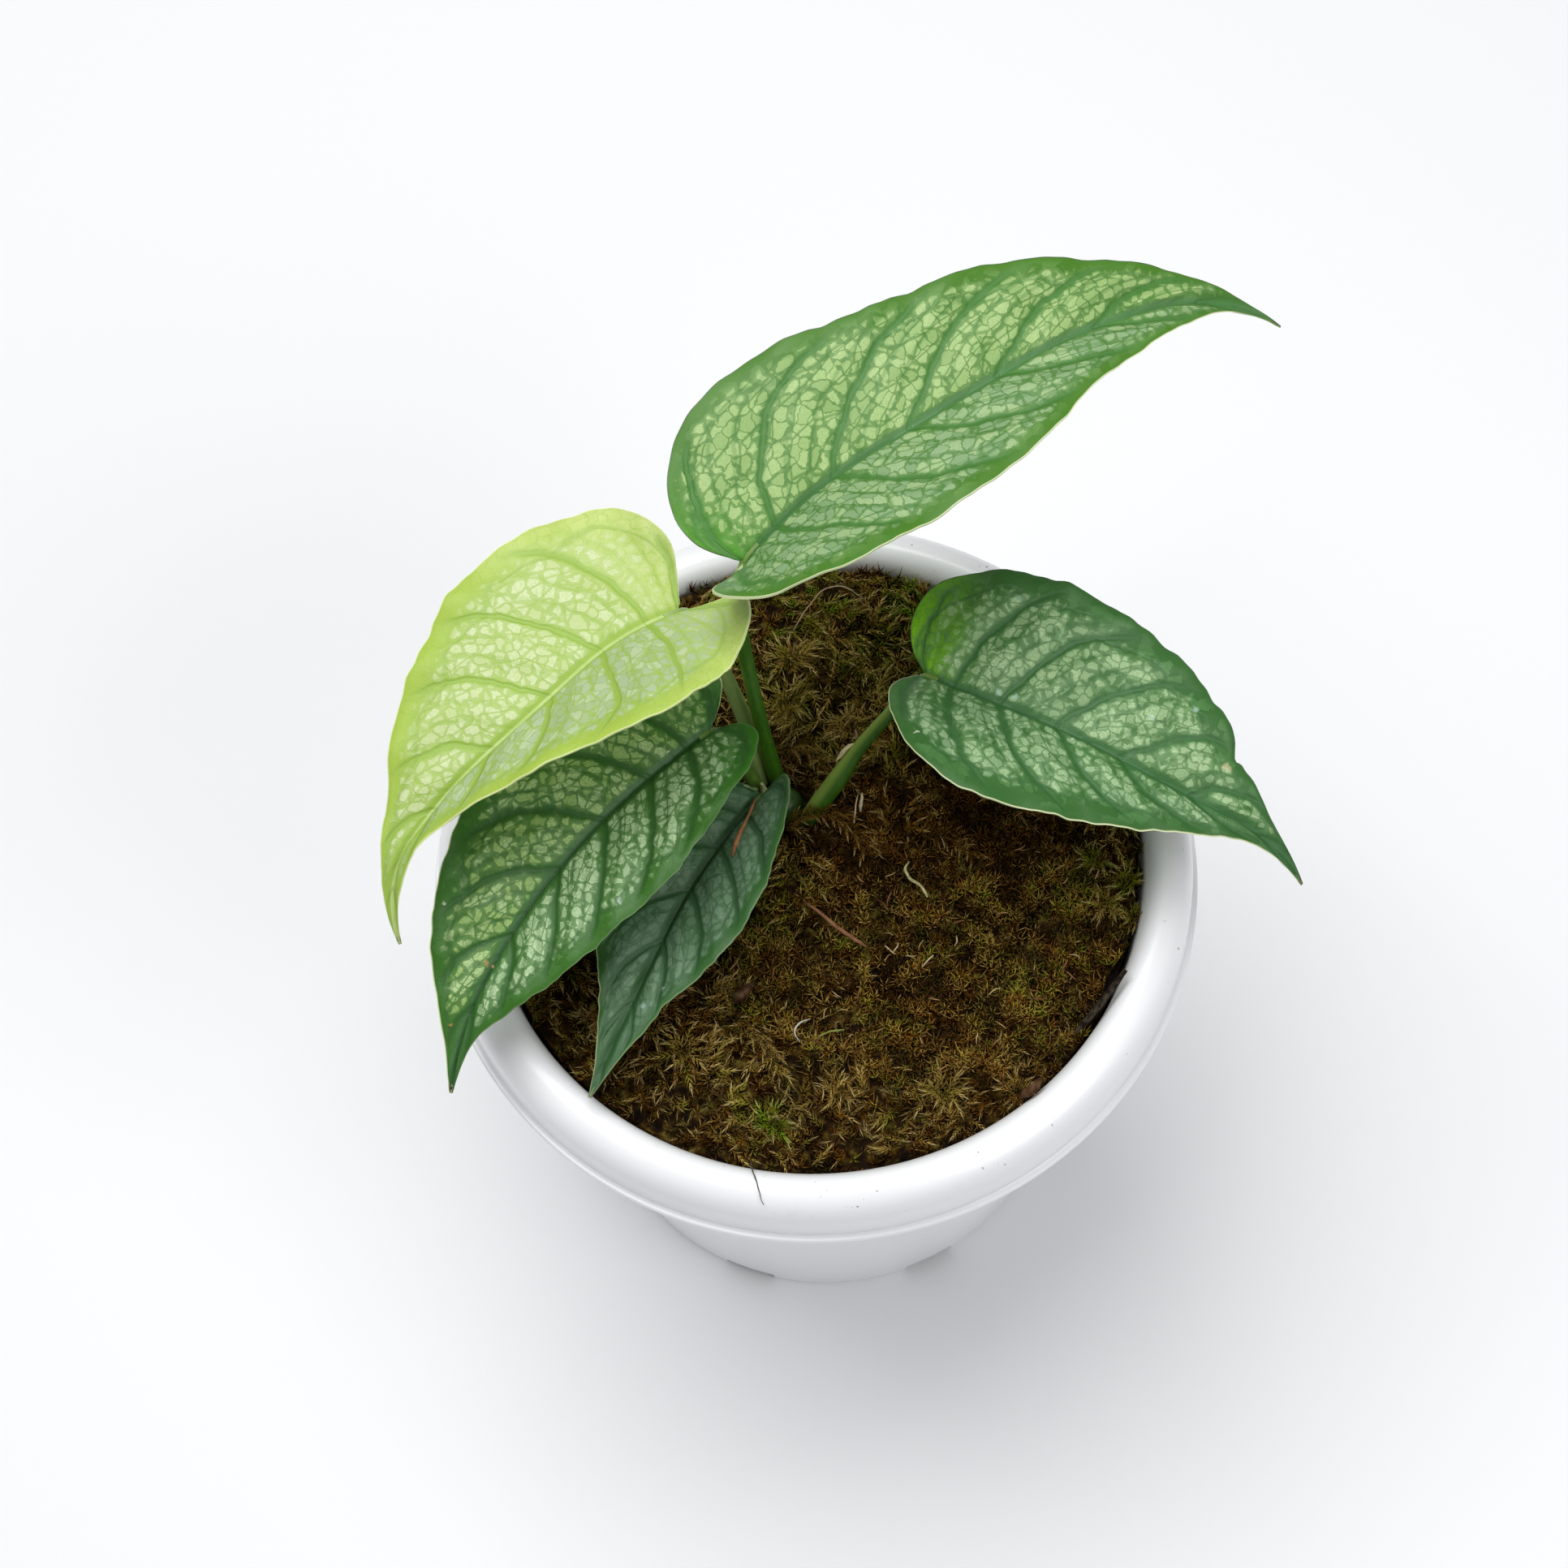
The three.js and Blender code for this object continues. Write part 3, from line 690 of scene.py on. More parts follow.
def modelStar(kind):
    draw = random.Random(star["seed"] + kind)
    root = Vector((0, 0, star["root"]))
    spikes = []
    for j in range(star["spikes"]):
        turn = (j + draw.uniform(-0.3, 0.3)) * 2 * math.pi / star["spikes"]
        lean = math.radians(draw.uniform(*star["lean"]))
        level = math.sin(lean)
        direction = Vector((level * math.cos(turn), level * math.sin(turn), math.cos(lean)))
        spikes.append((root, direction, draw.uniform(0.8, 1.25), star["width"]))
    return modelSpikes(spikes, lambda point: point[2])


def plantCopies(name, models, plan, material):  # plan rows: model, matrix in mm, tint, painted shade share
    points, corners, tints, paintedShades, alongs = [], [], [], [], []
    start = 0
    for pick, matrix, tint, paintedShade in plan:
        shape, faces, along = models[pick]
        points.append(shape @ np.array(matrix.to_3x3()).T + np.array(matrix.translation))
        corners.append(faces + start)
        tints.append(np.full(len(shape), tint))
        paintedShades.append(np.full(len(shape), paintedShade))
        alongs.append(along)
        start += len(shape)
    points = keepInside(np.vstack(points))
    mesh = bpy.data.meshes.new(name)
    mesh.from_pydata((points * mm).tolist(), [], np.vstack(corners).tolist())
    for layer, values in (("tint", tints), ("paintedShade", paintedShades), ("along", alongs)):
        paint(mesh, layer, np.concatenate(values))
    piece = bpy.data.objects.new(name, mesh)
    bpy.context.scene.collection.objects.link(piece)
    useOnly(piece)
    bpy.ops.object.shade_smooth()
    settle(piece, name, "moss", material=material)


def anywhere(draw, edge):  # a random place on the moss: radius, angle, x, y
    radius = edge * math.sqrt(draw.random())
    angle = draw.uniform(0, 2 * math.pi)
    return radius, angle, radius * math.cos(angle), radius * math.sin(angle)


def posed(place, turn, tip, size):
    return (Matrix.Translation(place) @ Matrix.Rotation(turn, 4, "Z") @ Matrix.Rotation(tip, 4, "Y")
            @ Matrix.Scale(size, 4))


def standAt(x, y, lift, *pose):  # a pose on the moss, or lifted off it
    return posed((x, y, mossHeight(x, y) + lift), *pose)


def spotTint(draw, x, y, low, high):
    tint = draw.uniform(low, high) + 0.3 * noise.noise(Vector((x, y, 20)) / 9)
    tint += 0.12 * smoothRise(y, 15, 45)
    tint += (0.9 - tint) * 0.75 * spotPull(moss["greenSpots"], x, y) * draw.random()
    tint += (0.22 - tint) * 0.7 * spotPull(moss["brownSpots"], x, y)
    tint += (0.55 - tint) * 0.8 * spotPull(moss["strawSpots"], x, y)
    return min(max(tint, 0.02), 1)


shootPlan = {
    "count": 3250,
    "seed": 3,
    "reach": (4.6, 7.8),
    "edge": 61.5,
    "wallZone": 54,  # from here out the shoots lie along the wall
    "bareCrown": 5.5,
    "tufts": [  # x, y, how many shoots, tint, size
        (21.6, -49.4, 16, 0.6, 6.5), (-11, -53, 16, 0.93, 6), (56, -13, 14, 0.62, 5.5),
        (54, -4, 12, 0.82, 5), (60.4, -9, 12, 0.84, 4.5), (60.8, -16, 12, 0.7, 4.5), (59.8, 3, 10, 0.8, 4.5),
        (-27, -38, 12, 0.6, 6.5), (2, -47, 12, 0.55, 6), (25, 40, 14, 0.88, 6), (-3, 33, 16, 0.64, 7.5),
        (9, 27, 14, 0.6, 7), (-2, 42, 16, 0.6, 8), (6, 17, 12, 0.52, 6), (36, -49, 10, 0.5, 5),
        (-33, -32, 10, 0.58, 6),
    ],
    "plumes": [  # route, how many shoots, tint, size
        ([(-5.2, 7.4, 119.6), (-1, 8.4, 122.2), (3.4, 7.8, 123), (7.6, 4.8, 122.4), (10.4, -0.4, 120.6)],
         34, 0.4, 4.4),
        ([(24, 3, 120), (28, 0.6, 121.6), (31.5, -3, 121)], 12, 0.42, 3.4),
        ([(-4, 24, 119.5), (0.5, 22, 121.4), (4, 18.4, 120.6)], 14, 0.48, 4.2),
        ([(-16, -34, 119.6), (-12, -38, 121.2), (-9, -43, 120.6)], 14, 0.55, 4),
    ],
}


def tuftRows(draw):  # upright tufts, their shoots leaning out all round
    rows = []
    for x, y, count, tint, size in shootPlan["tufts"]:
        for i in range(count):
            turn = 2 * math.pi * i / count + draw.uniform(-0.3, 0.3)
            near = draw.uniform(0.2, 1.6)
            matrix = standAt(x + near * math.cos(turn), y + near * math.sin(turn), draw.uniform(0, 1.2),
                             turn, draw.uniform(-0.55, 0.05), size * draw.uniform(0.7, 1.1))
            # the last value is a small painted shade share, at random
            rows.append((draw.randrange(shoot["kinds"]), matrix, tint + draw.uniform(-0.1, 0.07),
                         draw.uniform(0, 0.25)))
    return rows


def plumeRows(draw):  # shoots set along an arching stalk, to its left and right
    rows = []
    for route, count, tint, size in shootPlan["plumes"]:
        places = smoothCurve(route, count)
        for i in range(count):
            ahead = places[i + 1] - places[i]
            turn = math.atan2(ahead[1], ahead[0]) + (0.6 if i % 2 else -0.6)
            matrix = posed(tuple(places[i]), turn, draw.uniform(0.1, 0.5), size)
            # the last value is a small painted shade share, at random
            rows.append((draw.randrange(shoot["kinds"]), matrix, tint + draw.uniform(-0.08, 0.08),
                         draw.uniform(0, 0.2)))
    return rows


def plantShoots():
    draw = random.Random(shootPlan["seed"])
    rows = tuftRows(draw) + plumeRows(draw)
    while len(rows) < shootPlan["count"]:
        radius, angle, x, y = anywhere(draw, shootPlan["edge"])
        turn = 2.4 * math.pi * noise.noise(Vector((x, y, 0)) / 22) + draw.gauss(0, 0.7)
        low = lowPatch(x, y)
        hollow = fromCrown(x, y)
        if draw.random() < 0.93 * low or hollow < shootPlan["bareCrown"]:
            continue
        sparse = noise.noise(Vector((x, y, 30)) / 6) < -0.22 and hollow < 40
        if sparse and draw.random() < 0.75:
            continue
        size = draw.uniform(*shootPlan["reach"]) * (1 - 0.35 * low)
        if radius > shootPlan["wallZone"]:
            turn = angle + math.pi / 2 * draw.choice((-1, 1)) + draw.uniform(-0.9, 0.9)
            size *= 0.8
        behind = smoothRise(y, 8, 28)
        tint = spotTint(draw, x, y, 0.2, 0.72) + 0.06 * behind
        clump = noise.noise(Vector((x, y, 40)) / 7)
        lift = draw.uniform(-1.9, 0.7) + 2.2 * clump * (1 - low)
        # painted shade: shoots lying lower and those near the crown hollow are darkened, less towards the
        # back, and more or less at random
        paintedShade = (0.22 - 0.3 * (lift + 0.6) + 0.6 * smoothRise(-hollow, -13, -5)
                 + draw.choice((-0.2, -0.05, 0.1, 0.45)) - 0.28 * behind)
        matrix = standAt(x, y, lift, turn, draw.uniform(-0.3, 0.2), size)
        rows.append((draw.randrange(shoot["kinds"]), matrix, tint, min(max(paintedShade, 0), 0.9)))
    models = [modelShoot(kind) for kind in range(shoot["kinds"])]
    finish = mossFinish("moss_feather", moss["tones"], 0.9)
    for side, isBack in (("back", True), ("front", False)):
        plan = [row for row in rows if (row[1].translation.y > 0) == isBack]
        plantCopies("moss_shoots_" + side, models, plan, finish)


starPlan = {"count": 7400, "seed": 8, "reach": (1.3, 3.0), "edge": 63.6, "bareCrown": 5}


def plantStars():
    draw = random.Random(starPlan["seed"])
    plan = []
    while len(plan) < starPlan["count"]:
        x, y = anywhere(draw, starPlan["edge"])[2:]
        if draw.random() > 0.3 + 0.7 * lowPatch(x, y) or fromCrown(x, y) < starPlan["bareCrown"]:
            continue
        tint = spotTint(draw, x, y, 0.05, 0.74)
        clump = noise.noise(Vector((x, y, 50)) / 5)
        matrix = standAt(x, y, draw.uniform(-0.7, 0.3) + 0.5 * clump, draw.uniform(0, 6.3),
                         draw.uniform(-0.5, 0.5), draw.uniform(*starPlan["reach"]))
        # painted shade: stars lying lower in their clump are darkened, some more at random
        paintedShade = min(max(0.34 - 1.3 * clump + draw.choice((-0.3, -0.1, 0.15, 0.45)), 0), 0.88)
        plan.append((draw.randrange(star["kinds"]), matrix, tint, paintedShade))
    models = [modelStar(kind) for kind in range(star["kinds"])]
    plantCopies("moss_stars", models, plan, mossFinish("moss_fine", moss["tones"], 0.4))


makeBed()
plantShoots()
plantStars()


# Litter on the moss: sticks, straw, curled fibres and chips of bark

litter = {
    "rimStick": {
        "tone": "#120c08", "radii": [0.35, 0.7, 0.76, 0.68, 0.5],
        "route": [(47.4, -39.4, 120.6), (50.4, -37, 122.4), (54.2, -33.2, 124.2), (57.6, -29.4, 125.8)]},
    "twig": {
        "tone": "#83583c", "radii": [0.16, 0.36, 0.42, 0.42, 0.26],
        "route": [(-2.6, -9.2, 120.9), (0.4, -12.1, 121.5), (4.1, -15.7, 121.3), (9, -19.4, 120.6)]},
    "curl": {
        "tone": "#c1bd86", "radii": [0.15, 0.26, 0.3, 0.28, 0.24],
        "route": [(18.3, -2.4, 121), (17.4, -4.3, 121.8), (18.4, -6.4, 121.8), (20.2, -7.8, 121.4),
                  (21.4, -10, 120.9)]},
    "whiteCurl": {
        "tone": "#bdc0b6", "radii": [0.08, 0.15, 0.18, 0.14, 0.06],
        "route": [(-2.6, -33.4, 120.6), (-4.6, -34.4, 121.6), (-5.8, -36.2, 121.7), (-4.9, -38, 120.6)]},
    "hair": {
        "tone": "#a28e72", "radii": [0.12, 0.15, 0.15, 0.14, 0.1],
        "route": [(-1.4, 48.6, 122), (1.8, 52.8, 123.6), (5.6, 56, 125), (9.4, 56, 125.2),
                  (13.4, 53.6, 123.4)]},
    "barkChip": {
        "tone": "#3c2210", "radii": [0.5, 1.15, 1.2, 0.9, 0.4],
        "route": [(-17, -28.8, 120.4), (-15.4, -27.6, 121.2), (-13.2, -25.6, 121)]},
    "rimChip": {
        "tone": "#462a16", "radii": [0.4, 0.95, 1, 0.8, 0.3],
        "route": [(36, -52, 121.8), (38.4, -51, 123.2), (40.2, -49.2, 124.2)]},
    "rimHair": {
        "tone": "#4a463c", "radii": [0.16, 0.14, 0.12, 0.1, 0.06],
        "route": [(-15.4, -61, 120.2), (-15.2, -62.8, 122.8), (-14.9, -64.6, 124),
                  (-14.3, -67, 124.25), (-13.9, -69, 124), (-13.4, -70.6, 123.5)]},
    "paleSliver": {
        "tone": "#c9bd98", "radii": [0.2, 0.34, 0.36, 0.3, 0.1],
        "route": [(9.5, 8.8, 121.2), (9.8, 10, 123), (10.1, 11.4, 124.4)]},
    "needles": {
        "tone": "#c4ab86", "radii": [0.16, 0.2, 0.18, 0.14, 0.08],
        "route": [(8.2, 6.6, 120.6), (8.6, 8.8, 122.8), (9.2, 11.2, 124)]},
    "sheathEdge": {
        "tone": "#d8caa0", "radii": [0.1, 0.36, 0.5, 0.42, 0.12],
        "route": [(5.4, 15.4, 130.9), (6.8, 16.5, 132.7), (8.3, 17.2, 134), (9.3, 17.2, 134.6)]},
    "sheathTip": {
        "tone": "#8d6f62", "radii": [0.2, 0.3, 0.24, 0.1],
        "route": [(9.6, 18, 135.4), (9.6, 18.7, 136.2), (9.3, 19.4, 136.6)]},
    "greenStick": {
        "tone": "#75823a", "radii": [0.14, 0.18, 0.2, 0.18, 0.1],
        "route": [(-1.5, -37.2, 120.8), (1, -36.6, 121.6), (3.8, -36.4, 121.8)]},
}

bark = {"streak": "#c9b48c", "crack": "#1a0f08", "end": "#2a1a10", "uneven": 0.12}


def litterFinish(name, code):
    finish = Finish(name, Roughness=0.85, Specular_IOR_Level=0.15)
    streak = finish.cloud(finish.place(), 700, 3)
    finish.base(code)
    finish.cover(streak.rise(0.4, 0.8) * 0.14, bark["streak"])
    finish.cover(streak.fall(0.25, 0.5) * 0.6, bark["crack"])
    finish.cover((finish.painted("along") - 0.5).size().rise(0.35, 0.5) * 0.35, bark["end"])
    finish.bump(streak, 0.15)
    return finish.material


def makeLitter():
    for name, look in litter.items():
        piece = bar(look["route"], look["radii"], 28, 2)
        points = readPoints(piece.data)
        nudges = np.array([noise.noise_vector(Vector(point) * 900) for point in points])
        writePoints(piece.data, points + nudges * bark["uneven"] * mm)
        finish = litterFinish("litter_" + name, look["tone"])
        settle(piece, "litter_" + name, "moss", material=finish)


straw = {
    "count": 150,
    "seed": 21,
    "length": (1.0, 3.2),
    "edge": 61,
    "kinds": 4,
    "tones": [(0.0, "#2a150c"), (0.25, "#5d3522"), (0.5, "#8f6742"), (0.8, "#ad8f62"), (1.0, "#c8b78c")],
}


def modelStraw(kind):  # 1 m long here, which plantCopies takes as 1 mm times its size
    sway = 120 * math.sin(2 * kind + 1)
    route = [(-500, 0, 0), (-150, sway, 60), (200, 0.6 * sway, 90), (500, 0, 20)]
    piece = bar(route, [25, 50, 55, 30], 7, 0)
    useOnly(piece)
    bpy.ops.object.mode_set(mode="EDIT")
    bpy.ops.mesh.select_all(action="SELECT")
    bpy.ops.mesh.quads_convert_to_tris()
    bpy.ops.object.mode_set(mode="OBJECT")
    return takeModel(lambda point: 0.6 + point[0] * 0.5)


def scatterStraw():
    draw = random.Random(straw["seed"])
    models = [modelStraw(kind) for kind in range(straw["kinds"])]
    plan = []
    while len(plan) < straw["count"]:
        x, y = anywhere(draw, straw["edge"])[2:]
        if draw.random() > 0.25 + 0.75 * lowPatch(x, y):
            continue
        matrix = standAt(x, y, draw.uniform(1.2, 2.6), draw.uniform(0, 6.3), draw.uniform(-0.6, 0.6),
                         draw.uniform(*straw["length"]))
        plan.append((draw.randrange(straw["kinds"]), matrix, draw.random() ** 1.3, 0))
    plantCopies("moss_straw", models, plan, mossFinish("straw_bits", straw["tones"], 0.1))


makeLitter()
scatterStraw()


# Leaves. heading and slope give the midrib's direction at even places from base to tip, foldLeft
# and foldRight how steeply each half rises, and left and right are the outlines, as points
# [along the midrib, out from it]. lobeFold, glowSides, silver, silverShare and edge have a value
# for the left half and one for the right. ripple is its waves, their left and right height, and
# where they start. veins is how many there are and how far they sweep forward. petioleTone is its
# two streaks and its painted lit side, slots are the blade's and the petiole's, and a mark is its
# place, radius and tone.

bladeMesh = {
    "rows": 132,
    "columns": 60,
    "edgeSteps": 240,
    "rowPower": 1.8,  # sets the rows closer together towards the base
    "thickness": 0.42,
    "veinPower": 1.3,
    "lobe": 10,  # mm behind the base where lobeFold and lobeLift are reached
    "curlReach": 25,  # mm out from the midrib where curl is reached
    "uvSpan": 100,  # mm that a blade's UV square spans
    "uvVeins": 10,  # side veins that it spans
    "sharpest": 60,
}

leafTones = {
    "tip": "#5a4a44",
    "stalkSpeck": "#d9dfb6",
    "stalkFoot": "#1c300a",
    "litSideDirection": (-0.85, 0.2, 0.45),  # the direction where the stalks' painted lit side looks
}

leaves = {
    "back": {
        "base": (-9.4, 31.5, 185),
        "length": 123,
        "heading": (46, 27, 31, 21, -8),
        "slope": (16, 8, -2, -14, -46),
        "foldLeft": (18, 17, 15, 12, 8),
        "foldRight": (50, 27, 19, 14, 8),
        "lobeFold": (0, 0),
        "lobeLift": 13,
        "curl": -6,
        "left": [(-0.6, 1.7), (-2.7, 8.5), (-1.5, 14.8), (4, 21.8), (12, 26.2), (24, 26.8), (38, 24.7),
                 (52, 22.4), (66, 20.2), (78, 16), (92, 10), (105, 4.4), (114, 1.7), (123, 0.3)],
        "right": [(-1.2, 0.8), (-3.6, 0.5), (-6.4, 1.2), (-8.1, 4), (-8, 8.5), (-6, 13.8), (-1, 20.6),
                  (8, 25.8), (17, 26.4), (30, 24.6), (44, 22.2), (57, 18.8), (70, 13.6), (84, 9.6),
                  (97, 5.6), (107, 2.2), (115, 0.8), (123, 0.12)],
        "ripple": (9, 0.5, 0.25, 0.2),
        "quilt": 0.5,
        "keel": 1.35,
        "petiole": [(-5.2, 17.2, 110), (-6.2, 17.4, 119), (-7, 17.8, 126), (-8.8, 21.4, 140),
                    (-10.7, 27.4, 158), (-10.9, 29, 174), (-9.9, 30.3, 182.2)],
        "petioleRadius": (1.75, 1.6, 1.5, 1.45, 1.4, 1.5),
        "petioleTone": ("#2d5c08", "#4c8014", "#86a83a"),
        "slots": ("leaf_mid_green", "stem_green"),
        "veins": (6.8, 0.2),
        "look": {
            "body": "#467628", "marginTone": "#487a1e", "glow": "#4f9a0e", "glowSides": (0.95, 0.25),
            "silver": ("#a3c179", "#92b084"), "glint": "#bdd394", "silverShare": (1.0, 1.0),
            "silverMost": 0.92, "patchiness": 0.2, "margin": (0.76, 0.97), "cell": 2.5,
            "weakShare": 0.5, "lineDepth": 0.75, "glowLean": 0.006, "lineWidth": 0.055,
            "fineShare": 0.4, "mottle": 0.35,
            "net": "#7fa860", "vein": "#457a35", "veinWidth": 0.85, "rib": "#4c7d45",
            "ribBand": "#5a8355", "edge": ("#4f6a44", "#d6dfae"), "under": "#8fae68",
        },
        "marks": [],
    },
    "young": {
        "base": (-22, 28.4, 174),
        "length": 87.5,
        "heading": (-159, -139, -143, -134, -72),
        "slope": (8, -4, -12, -24, -60),
        "foldLeft": (34, 34, 40, 38, 10),
        "foldRight": (8, 8, 8, 8, 8),
        "lobeFold": (16, 10),
        "lobeLift": 5,
        "curl": -6,
        "left": [(-1.2, 0.8), (-6, 4), (-8.7, 8.5), (-8.4, 14), (-5.2, 20.4), (2, 24.6), (13, 26.4),
                 (24, 23.6), (34, 18.4), (44, 14.2), (53, 9.4), (61, 5), (70, 2.8), (79, 1.3), (87.5, 0.3)],
        "right": [(-0.5, 1.2), (-2, 5.5), (-3.4, 13), (-1.4, 19.5), (5, 25), (15, 27.8), (29, 28),
                  (38, 24.8), (47, 20.6), (55, 15), (63, 8.4), (71, 3.6), (79, 1.4), (87.5, 0.3)],
        "ripple": (8, 0.25, 0.7, 0.6),
        "quilt": 0.5,
        "keel": 1.3,
        "petiole": [(-9, 17.8, 110), (-9.7, 18.6, 119), (-10.3, 20, 127), (-11.6, 23.5, 134),
                    (-13.1, 25.8, 140), (-14.9, 28.2, 146), (-17, 29.7, 153), (-19, 30, 161),
                    (-21, 29, 171)],
        "petioleRadius": (1.7, 1.7, 1.6, 1.5, 1.4, 1.35),
        "petioleTone": ("#86a354", "#a3bd72", "#c2d296"),
        "slots": ("leaf_lime", "stem_lime"),
        "veins": (6.6, 0.14),
        "look": {
            # its glow is partly painted light, brightening the left lobe where the back leaf's shadow falls
            "body": "#99b74c", "marginTone": "#a5c04a", "glow": "#cddb88", "glowSides": (0.5, 0.8),
            "silver": ("#aabd9e", "#cbd6a2"), "glint": "#d8e2bc", "silverShare": (1.0, 0.85),
            "silverMost": 0.9, "patchiness": 0.25, "margin": (0.7, 0.95), "cell": 2.4,
            "weakShare": 0.4, "lineDepth": 0.7, "glowLean": -0.006, "lineWidth": 0.05,
            "fineShare": 0.45, "mottle": 0.3,
            "net": "#a5c25a", "vein": "#93b44c", "veinWidth": 0.7, "rib": "#c3d68c",
            "ribBand": "#9dba4c", "edge": ("#d4df9c", "#e4ebc4"), "under": "#c2d188",
        },
        "marks": [],
    },
    "middle": {
        "base": (-17.8, 14.6, 151),
        "length": 87,
        "heading": (-142, -141, -132, -123, -104),
        "slope": (6, -6, -14, -20, -40),
        "foldLeft": (18, 16, 14, 12, 8),
        "foldRight": (16, 14, 14, 12, 8),
        "lobeFold": (0, 0),
        "lobeLift": 2,
        "curl": -6,
        "left": [(-1.3, 0.9), (-4.5, 3.4), (-5.3, 7), (-1.8, 11), (8.7, 15), (19, 18.2), (29, 19.4),
                 (40, 17.8), (51, 15.1), (60, 11.6), (68, 7.2), (76, 2.6), (87, 0.3)],
        "right": [(-1.4, 0.9), (-4.6, 3.1), (-7.4, 6.4), (-5.4, 12), (2.5, 18.2), (14, 21.4), (28, 22.4),
                  (40, 21.6), (48, 19.2), (57, 15.6), (65, 11.2), (72, 6.2), (79, 2.5), (87, 0.3)],
        "ripple": (9, 0.3, 0.5, 0.35),
        "quilt": 0.55,
        "keel": 1.25,
        "petiole": [(-9.8, 14, 110), (-10, 14.9, 119), (-11, 14.8, 126), (-13.9, 14.9, 136),
                    (-16.8, 14.9, 148.2)],
        "petioleRadius": (1.5, 1.45, 1.4, 1.3, 1.25),
        "petioleTone": ("#48701c", "#7d9c4a", "#a9bf78"),
        "slots": ("leaf_green", "stem_green"),
        "veins": (7, 0.16),
        "look": {
            "body": "#42772a", "marginTone": "#366a1a", "glow": "#327a04", "glowSides": (0.6, 0.5),
            "silver": ("#bcd8a8", "#afcd7c"), "glint": "#cbe2b2", "silverShare": (1.0, 0.9),
            "silverMost": 0.85, "patchiness": 0.45, "margin": (0.7, 0.95), "cell": 2.4,
            "weakShare": 0.45, "lineDepth": 0.78, "glowLean": 0.0, "lineWidth": 0.06,
            "fineShare": 0.55, "mottle": 0.5,
            "net": "#4f7f3f", "vein": "#2d5a24", "veinWidth": 0.95, "rib": "#244f1f",
            "ribBand": "#41693f", "edge": ("#5f7f4a", "#d3dca6"), "under": "#7f9c5c",
        },
        "marks": [(62.4, -0.5, 0.55, "#c98a4e"), (62.3, 0.9, 0.45, "#d8a877"), (75, -2, 0.5, "#c4924f"),
                  (38, 15.8, 0.7, "#b7cfc0"), (57, -13, 0.4, "#dfe6c9"), (10.4, -1, 0.35, "#e4ead2")],
    },
    "low": {
        "base": (-9.4, 8.6, 133),
        "length": 68.4,
        "heading": (-131, -126, -118, -118, -116),
        "slope": (4, 0, -4, -8, -10),
        "foldLeft": (46, 36, 28, 18, 10),
        "foldRight": (14, 14, 12, 10, 8),
        "lobeFold": (20, 0),
        "lobeLift": 4,
        "curl": -4,
        "left": [(-1.4, 0.7), (-3.6, 1.9), (-4.6, 4), (-1.4, 8.6), (7, 13.6), (16, 16.6), (26, 17),
                 (34.5, 14.4), (41, 10.8), (47, 7), (54, 4.6), (61, 2.2), (68.4, 0.3)],
        "right": [(0.1, 1), (0.8, 4), (2.2, 8), (5, 12.6), (11, 16.2), (19, 17.4), (28, 16.4),
                  (36, 13.6), (43, 10.2), (49, 6.8), (56, 3.9), (63, 1.4), (68.4, 0.3)],
        "ripple": (7, 0.25, 0.4, 0.1),
        "quilt": 0.45,
        "keel": 1.1,
        "petiole": [(-8, 9.8, 110), (-8.8, 9.4, 119), (-9.5, 8.6, 125), (-9.7, 8.6, 130.6)],
        "petioleRadius": (1.4, 1.3, 1.2, 1.15),
        "petioleTone": ("#3c5e1a", "#6b8a48", "#93ab6c"),
        "slots": ("leaf_dark", "stem_green"),
        "veins": (6.4, 0.16),
        "look": {
            "body": "#315c30", "marginTone": "#346229", "glow": "#2f6420", "glowSides": (0.3, 0.3),
            "silver": ("#7b9a7a", "#6f8f6e"), "glint": "#8aa58a", "silverShare": (0.9, 0.95),
            "silverMost": 0.75, "patchiness": 0.2, "margin": (0.78, 0.95), "cell": 2.6,
            "weakShare": 0.3, "lineDepth": 0.5, "glowLean": 0.0, "lineWidth": 0.06,
            "fineShare": 0.3, "mottle": 0.3,
            "net": "#4b7050", "vein": "#365b36", "veinWidth": 0.7, "rib": "#30552e",
            "ribBand": "#2c512b", "edge": ("#6f8a5c", "#9fae7c"), "under": "#6d8a58",
        },
        "marks": [(49.6, 3.6, 0.6, "#a9c4b8"), (45.4, 6.2, 0.45, "#9fbfae"), (18.4, 4.4, 0.3, "#9fb5ad")],
    },
    "right": {
        "base": (23, 23.7, 150),
        "length": 85.5,
        "heading": (-31, -29, -32, -25, -46),
        "slope": (10, 2, -8, -20, -54),
        "foldLeft": (10, 10, 10, 10, 8),
        "foldRight": (34, 28, 20, 12, 8),
        "lobeFold": (0, 0),
        "lobeLift": 2,
        "curl": -8,
        "left": [(-1.2, 1), (-4.2, 3.7), (-6.6, 8), (-7.1, 13), (-5, 18.4), (0.4, 23.4), (9, 26.4),
                 (18, 27.4), (27, 26.4), (38, 24), (48, 20.6), (57, 15.8), (64, 9.2), (69, 5.6), (76, 2.2),
                 (85.5, 0.3)],
        "right": [(-0.8, 1.3), (-2.4, 4.4), (-2.9, 8), (-1.3, 12), (2.7, 17.3), (9, 22.5), (18, 25.2),
                  (25, 24.4), (32, 21.7), (40, 18.2), (48, 13.8), (56, 9), (65, 4.7), (73, 1.9),
                  (85.5, 0.3)],
        "ripple": (9, 0.6, 0.22, 0.8),
        "quilt": 0.6,
        "keel": 1.3,
        "petiole": [(-1.8, 10.6, 110), (-0.2, 10, 118), (5.1, 12.9, 127), (10.2, 16.8, 134),
                    (16.2, 19.8, 142), (21.2, 22.6, 148)],
        "petioleRadius": (1.5, 1.75, 1.95, 1.95, 1.5, 1.35, 1.3, 1.3),
        "petioleTone": ("#2c5808", "#4a7618", "#92ac4a"),
